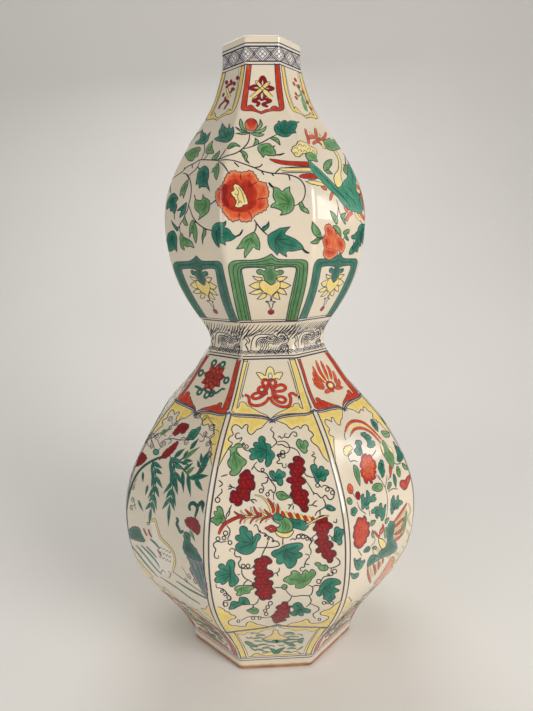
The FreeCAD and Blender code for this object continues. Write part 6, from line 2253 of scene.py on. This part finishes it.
FOOT_STRIP = [(-19.4, 15.8), (-19.4, 15.8), (19.4, 15.8), (19.4, 15.8), (17.4, 18.6), (14.6, 19.6),
              (12, 17.9), (9, 18.4), (6.4, 20.6), (3.4, 20.8), (0, 18.6), (-3.4, 20.8), (-6.4, 20.6),
              (-9, 18.4), (-12, 17.9), (-14.6, 19.6), (-17.4, 18.6)]
for places, colour in ((EVEN, "yellow"), (ODD, "iron_red")):
    foot_frame = Panel("lower_bulb", places, drifts=False)
    edge_tone = 0.25 if colour == "yellow" else 0.45
    for side in (-1, 1):
        foot_frame.fill(colour, foot_top(side)[::side], 0.1, edge_tone, 0.6, ink=0.5, spacing=2.4)
        foot_frame.fill(colour, foot_bar(side)[::side], 0.3, edge_tone, 0.6, ink=0.5, spacing=2.4)
        foot_frame.line([(side * 30.4, 59), (side * 26.9, 40), (side * 22.8, 17)], 1.3, 0, colour, edge_tone,
                        taper=0)
    foot_frame.fill(colour, FOOT_STRIP, 0.3, edge_tone, 0.6, ink=0.5, spacing=2.4)
sea = Panel("lower_bulb", EVERY)
for side in (-1, 1):
    Panel("lower_bulb", EVERY, drifts=False).line([(side * 29.6, 58), (side * 26.2, 40), (side * 22, 17)],
                                                  0.45, 0.2, tone=0.4)
PEAK = [(262.4, 638.6), (262.4, 638.6), (266.6, 637), (270.6, 635.4), (273, 632.6), (273.6, 630),
        (277.4, 630), (278.4, 632.6), (280, 634.8), (284.4, 636.4), (288.8, 638.4), (288.8, 638.4),
        (276, 639.6)]
sea.fill("yellow", seen_at(PEAK), 1.4, 0.35, 0.4, ink=0.45, step=0.9, spacing=2.4)
SEA = [("dark_green", 2.4, [(262, 639.4), (268, 641.4), (276, 641.8), (284, 640.8), (290, 638.4)]),
       ("dark_green", 4.4, [(273.4, 640), (276, 641.6), (279, 640)]),
       ("dark_green", 1.8, [(284, 640.4), (292, 639.4), (299.4, 639.6)]),
       ("dark_green", 3.2, [(245.4, 641), (249, 643.4), (253, 645.6), (257.6, 647)]),
       ("dark_green", 1.6, [(254, 646.4), (261, 644.6), (268.4, 644)]),
       ("light_green", 2.6, [(256, 636.4), (260, 635), (265, 635.6)]),
       ("light_green", 2.0, [(251.6, 638.6), (257, 638), (262, 637.4)]),
       ("light_green", 1.6, [(253.6, 641), (258, 641), (263, 641.6)]),
       ("light_green", 2.4, [(283.6, 635), (289, 633.4), (295, 634.4)]),
       ("light_green", 2.0, [(286.4, 637.6), (292, 636.4), (299, 636.8)]),
       ("light_green", 1.6, [(284.6, 633), (289, 632.4), (293.4, 632.6)]),
       ("dark_green", 3.0, [(283.4, 642), (288, 643), (292, 645), (295.4, 646)]),
       ("dark_green", 1.4, [(288, 643.6), (294, 641.8), (299, 641.6)]),
       ("dark_green", 2.8, [(303.4, 637.6), (300.6, 639.8), (301, 643.4)]),
       ("dark_green", 2.4, [(270, 648), (273.4, 650.2), (276.4, 651.4), (280, 649.6), (285.4, 647.4)]),
       ("dark_green", 3.6, [(274, 650.2), (276.4, 652.2), (279, 650.4)]),
       ("light_green", 1.8, [(262, 648.4), (266, 647.4), (270, 648)]),
       ("light_green", 1.6, [(254, 650), (259, 649.4), (264, 650.6)]),
       ("light_green", 1.6, [(287, 649), (291, 648), (296, 648.4)])]
for colour, width, path in SEA:
    sea.line(seen_at(path), width * 1.45, 0.6 + 0.3 * (colour == "dark_green"), colour, tone=0.45, taper=0.8,
             edged=0.26)
SEA_STROKES = ([(250, 634), (254, 633), (259, 633.6)], [(249.6, 646), (252.6, 649), (256.4, 651)],
               [(266, 646), (271, 645.4), (275, 646.6)], [(278, 645), (282, 645.6), (284, 644.4)],
               [(297, 634), (301, 634.6), (303, 636)], [(296, 650), (300, 648.6), (303, 646)],
               [(262, 652.4), (266, 651.6), (269, 652.6)], [(284, 652.4), (288, 651.4), (291, 652.2)],
               [(246, 637), (249, 638.4), (252, 636.6)])
for path in SEA_STROKES:
    sea.line(seen_at(path), 1.3, 0.4, "light_green", tone=0.5, taper=0.8, edged=0.22)
for along in (13.4, 10.6):
    around("lower_bulb", along, 0.95, tone=0.7, colour="blue")
corner_lines("lower_bulb", 14.6, 62.4, 1.4, 0.6, 0.6)
print("touches on a foot panel:", sea.touches)

# %% [markdown]
# ## The enamels
# Each enamel is a coloured glass over white, so it is pale where it lies thin and deep where it pools, with
# streaks where the brush dragged. Every point of the painting carries a tone, from thin to pooled. The finish
# adds streaks and clouds to that tone and looks the colour up on a ramp. The roll of the glaze runs on
# through the enamels, so that one reflection crosses both.

# %% Mix the enamels
ENAMELS = {
    "iron_red": ((0.76, 0.22, 0.085), (0.56, 0.040, 0.010), (0.235, 0.008, 0.004), 0.18),
    "crimson": ((0.43, 0.018, 0.018), (0.270, 0.003, 0.005), (0.100, 0.001, 0.002), 0.16),
    "dark_green": ((0.09, 0.34, 0.22), (0.018, 0.180, 0.115), (0.003, 0.045, 0.034), 0.15),
    "light_green": ((0.34, 0.50, 0.25), (0.125, 0.290, 0.105), (0.038, 0.130, 0.042), 0.15),
    "yellow": ((0.86, 0.74, 0.36), (0.80, 0.60, 0.17), (0.60, 0.40, 0.07), 0.17),
    "ink": ((0.26, 0.25, 0.28), (0.070, 0.070, 0.105), (0.010, 0.011, 0.024), 0.22),
    "white": ((0.78, 0.72, 0.62), (0.73, 0.665, 0.555), (0.60, 0.53, 0.42), 0.15),
    "blue": ((0.32, 0.36, 0.46), (0.095, 0.125, 0.23), (0.022, 0.035, 0.09), 0.20),
}
STREAK_SIZE, STREAK_SHARE = 2.2, 0.55
CLOUD_SIZE, CLOUD_SHARE = 7, 0.4


def enamel(name, thin, full, pooled, roughness):
    finish = Finish(name + "_enamel")
    tone = finish.node("ShaderNodeAttribute", {"attribute_name": "tone"}, output="Fac")
    streaks = finish.noise(STREAK_SIZE, detail=4.0, scale=(1, 1, 0.4))
    clouds = finish.noise(CLOUD_SIZE, detail=3.0)
    depth = tone + (streaks - 0.5) * STREAK_SHARE + (clouds - 0.5) * CLOUD_SHARE
    stops = [(0.08, thin), (0.5, full), (0.95, pooled)]
    finish.set(Base_Color=finish.node("ShaderNodeValToRGB", {"stops": stops}, depth),
               Roughness=clouds.between(0.2, 0.9) * 0.08 + roughness)
    finish.shader.inputs["Coat Weight"].default_value = 0.2
    finish.shader.inputs["Coat Roughness"].default_value = 0.08
    rolling_surface(finish)
    return finish.material


enamels = {name: enamel(name, *mix) for name, mix in ENAMELS.items()}
print("enamels:", ", ".join(enamels))

# %% [markdown]
# ## The second firing
# All touches of one colour in one band of the vase become one object, but the ink is split in four, one
# object to each side of the vase. Solidify gives every pad just under half a millimetre of depth, down into
# the glaze, which closes it.

# %% Fire the painting on
PAD_THICKNESS = 0.45
PAD_SHARP_DEGREES = 40


def fire(name, colour, kept):
    mesh = bpy.data.meshes.new(name)
    points = np.concatenate(kept["points"])
    mesh.from_pydata(points.tolist(), [], kept["faces"])
    mesh.attributes.new("tone", "FLOAT", "POINT").data.foreach_set("value", np.concatenate(kept["tones"]))
    corners = np.empty(len(mesh.loops), int)
    mesh.loops.foreach_get("vertex_index", corners)
    chart = np.concatenate(kept["chart"])[corners]
    mesh.uv_layers.new(name="OFBake").data.foreach_set("uv", chart.ravel())
    painting = bpy.data.objects.new(name, mesh)
    bpy.context.scene.collection.objects.link(painting)
    bpy.ops.object.select_all(action="DESELECT")
    painting.select_set(True)
    bpy.context.view_layer.objects.active = painting
    sink = painting.modifiers.new("sink", "SOLIDIFY")
    sink.thickness, sink.offset = PAD_THICKNESS * MM, -1
    bpy.ops.object.modifier_apply(modifier="sink")
    bpy.ops.object.shade_smooth_by_angle(angle=math.radians(PAD_SHARP_DEGREES))
    dress(painting, enamels[colour], "glazed_porcelain")
    painting.data.calc_loop_triangles()
    return len(painting.data.loop_triangles)


total = 0
for key, kept in pads.items():
    triangles = fire("_".join(key), key[1], kept)
    total += triangles
    print(*key, "triangles:", triangles)
print("painting:", len(pads), "objects,", total, "triangles")

# %% [markdown]
# ## The studio
# A plain pale floor that curves up behind, one large soft lamp from the right and front, a weaker one from
# the left, one above and behind, a narrow one whose shine runs down the right side, and an even pale world.

# %% Build the stage and light it
FLOOR_SIZE, FLOOR_PLACE, BACK_HEIGHT = 14, (0, -5.4, 0), 5
BEND_REACH, BEND_PARTS = 1.2, 24
PALE_FLOOR, SHADED_FLOOR = (0.88, 0.86, 0.83), (0.83, 0.81, 0.78)


def stage_piece():
    bpy.ops.object.select_all(action="DESELECT")
    bpy.ops.mesh.primitive_plane_add(size=FLOOR_SIZE, location=FLOOR_PLACE)
    floor = bpy.context.object
    floor.name = "floor"
    bpy.ops.object.transform_apply(location=True, rotation=False, scale=False)
    back = max(vertex.co.y for vertex in floor.data.vertices)
    select_edges(floor.data, lambda a, b: a.y > back - MM and b.y > back - MM)
    bpy.ops.mesh.extrude_edges_move(TRANSFORM_OT_translate={"value": (0, 0, BACK_HEIGHT)})
    select_edges(floor.data, lambda a, b: a.y > back - MM and b.y > back - MM and a.z < MM and b.z < MM)
    bpy.ops.mesh.bevel(offset=BEND_REACH, segments=BEND_PARTS, affect="EDGES")
    bpy.ops.mesh.select_all(action="SELECT")
    bpy.ops.mesh.normals_make_consistent(inside=True)
    bpy.ops.object.mode_set(mode="OBJECT")
    bpy.ops.object.shade_smooth()
    finish = Finish("pale_floor")
    weave = finish.noise(400, detail=2.0)
    finish.set(Base_Color=finish.mix(weave, PALE_FLOOR, SHADED_FLOOR))
    finish.shader.inputs["Roughness"].default_value = 0.85
    floor.data.materials.append(finish.material)
    floor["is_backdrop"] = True


stage_piece()


def soft_lamp(name, place, aim, size, watts, colour):
    lamp = bpy.data.lights.new(name, "AREA")
    lamp.shape, lamp.size, lamp.size_y, lamp.energy, lamp.color = "RECTANGLE", size[0], size[1], watts, colour
    holder = bpy.data.objects.new(name, lamp)
    bpy.context.scene.collection.objects.link(holder)
    holder.location = place
    holder.rotation_euler = (Vector(aim) - Vector(place)).to_track_quat("-Z", "Y").to_euler()


soft_lamp("window_right", (1.25, -1.3, 0.85), (0, 0, 0.24), (0.8, 1.1), 25, (1.0, 0.97, 0.93))
soft_lamp("soft_left", (-1.5, -1.0, 0.7), (0, 0, 0.24), (0.9, 1.3), 8.5, (0.99, 0.985, 0.98))
soft_lamp("soft_top", (-0.1, 0.9, 1.5), (0, 0, 0.25), (0.9, 0.9), 7, (1.0, 0.985, 0.96))
soft_lamp("narrow_side", (1.5, 0.173, 0.62), (0, 0, 0.3), (0.11, 0.44), 0.62, (0.98, 0.99, 1.0))
world = bpy.data.worlds.new("pale_room")
bpy.context.scene.world = world
world.use_nodes = True
nodes, links = world.node_tree.nodes, world.node_tree.links
seen = nodes.new("ShaderNodeLightPath")
room = next(n for n in nodes if n.type == "BACKGROUND")
room.inputs["Color"].default_value = (0.95, 0.94, 0.92, 1)
room.inputs["Strength"].default_value = 0.27
backdrop = nodes.new("ShaderNodeBackground")
backdrop.inputs["Color"].default_value = (0.86, 0.84, 0.81, 1)
backdrop.inputs["Strength"].default_value = 1.0
either = nodes.new("ShaderNodeMixShader")
out = next(n for n in nodes if n.type == "OUTPUT_WORLD")
links.new(seen.outputs["Is Camera Ray"], either.inputs[0])
links.new(room.outputs[0], either.inputs[1])
links.new(backdrop.outputs[0], either.inputs[2])
links.new(either.outputs[0], out.inputs["Surface"])
bpy.context.scene.view_settings.view_transform = "Standard"

# %% Read the bounds of what was built
low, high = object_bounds()
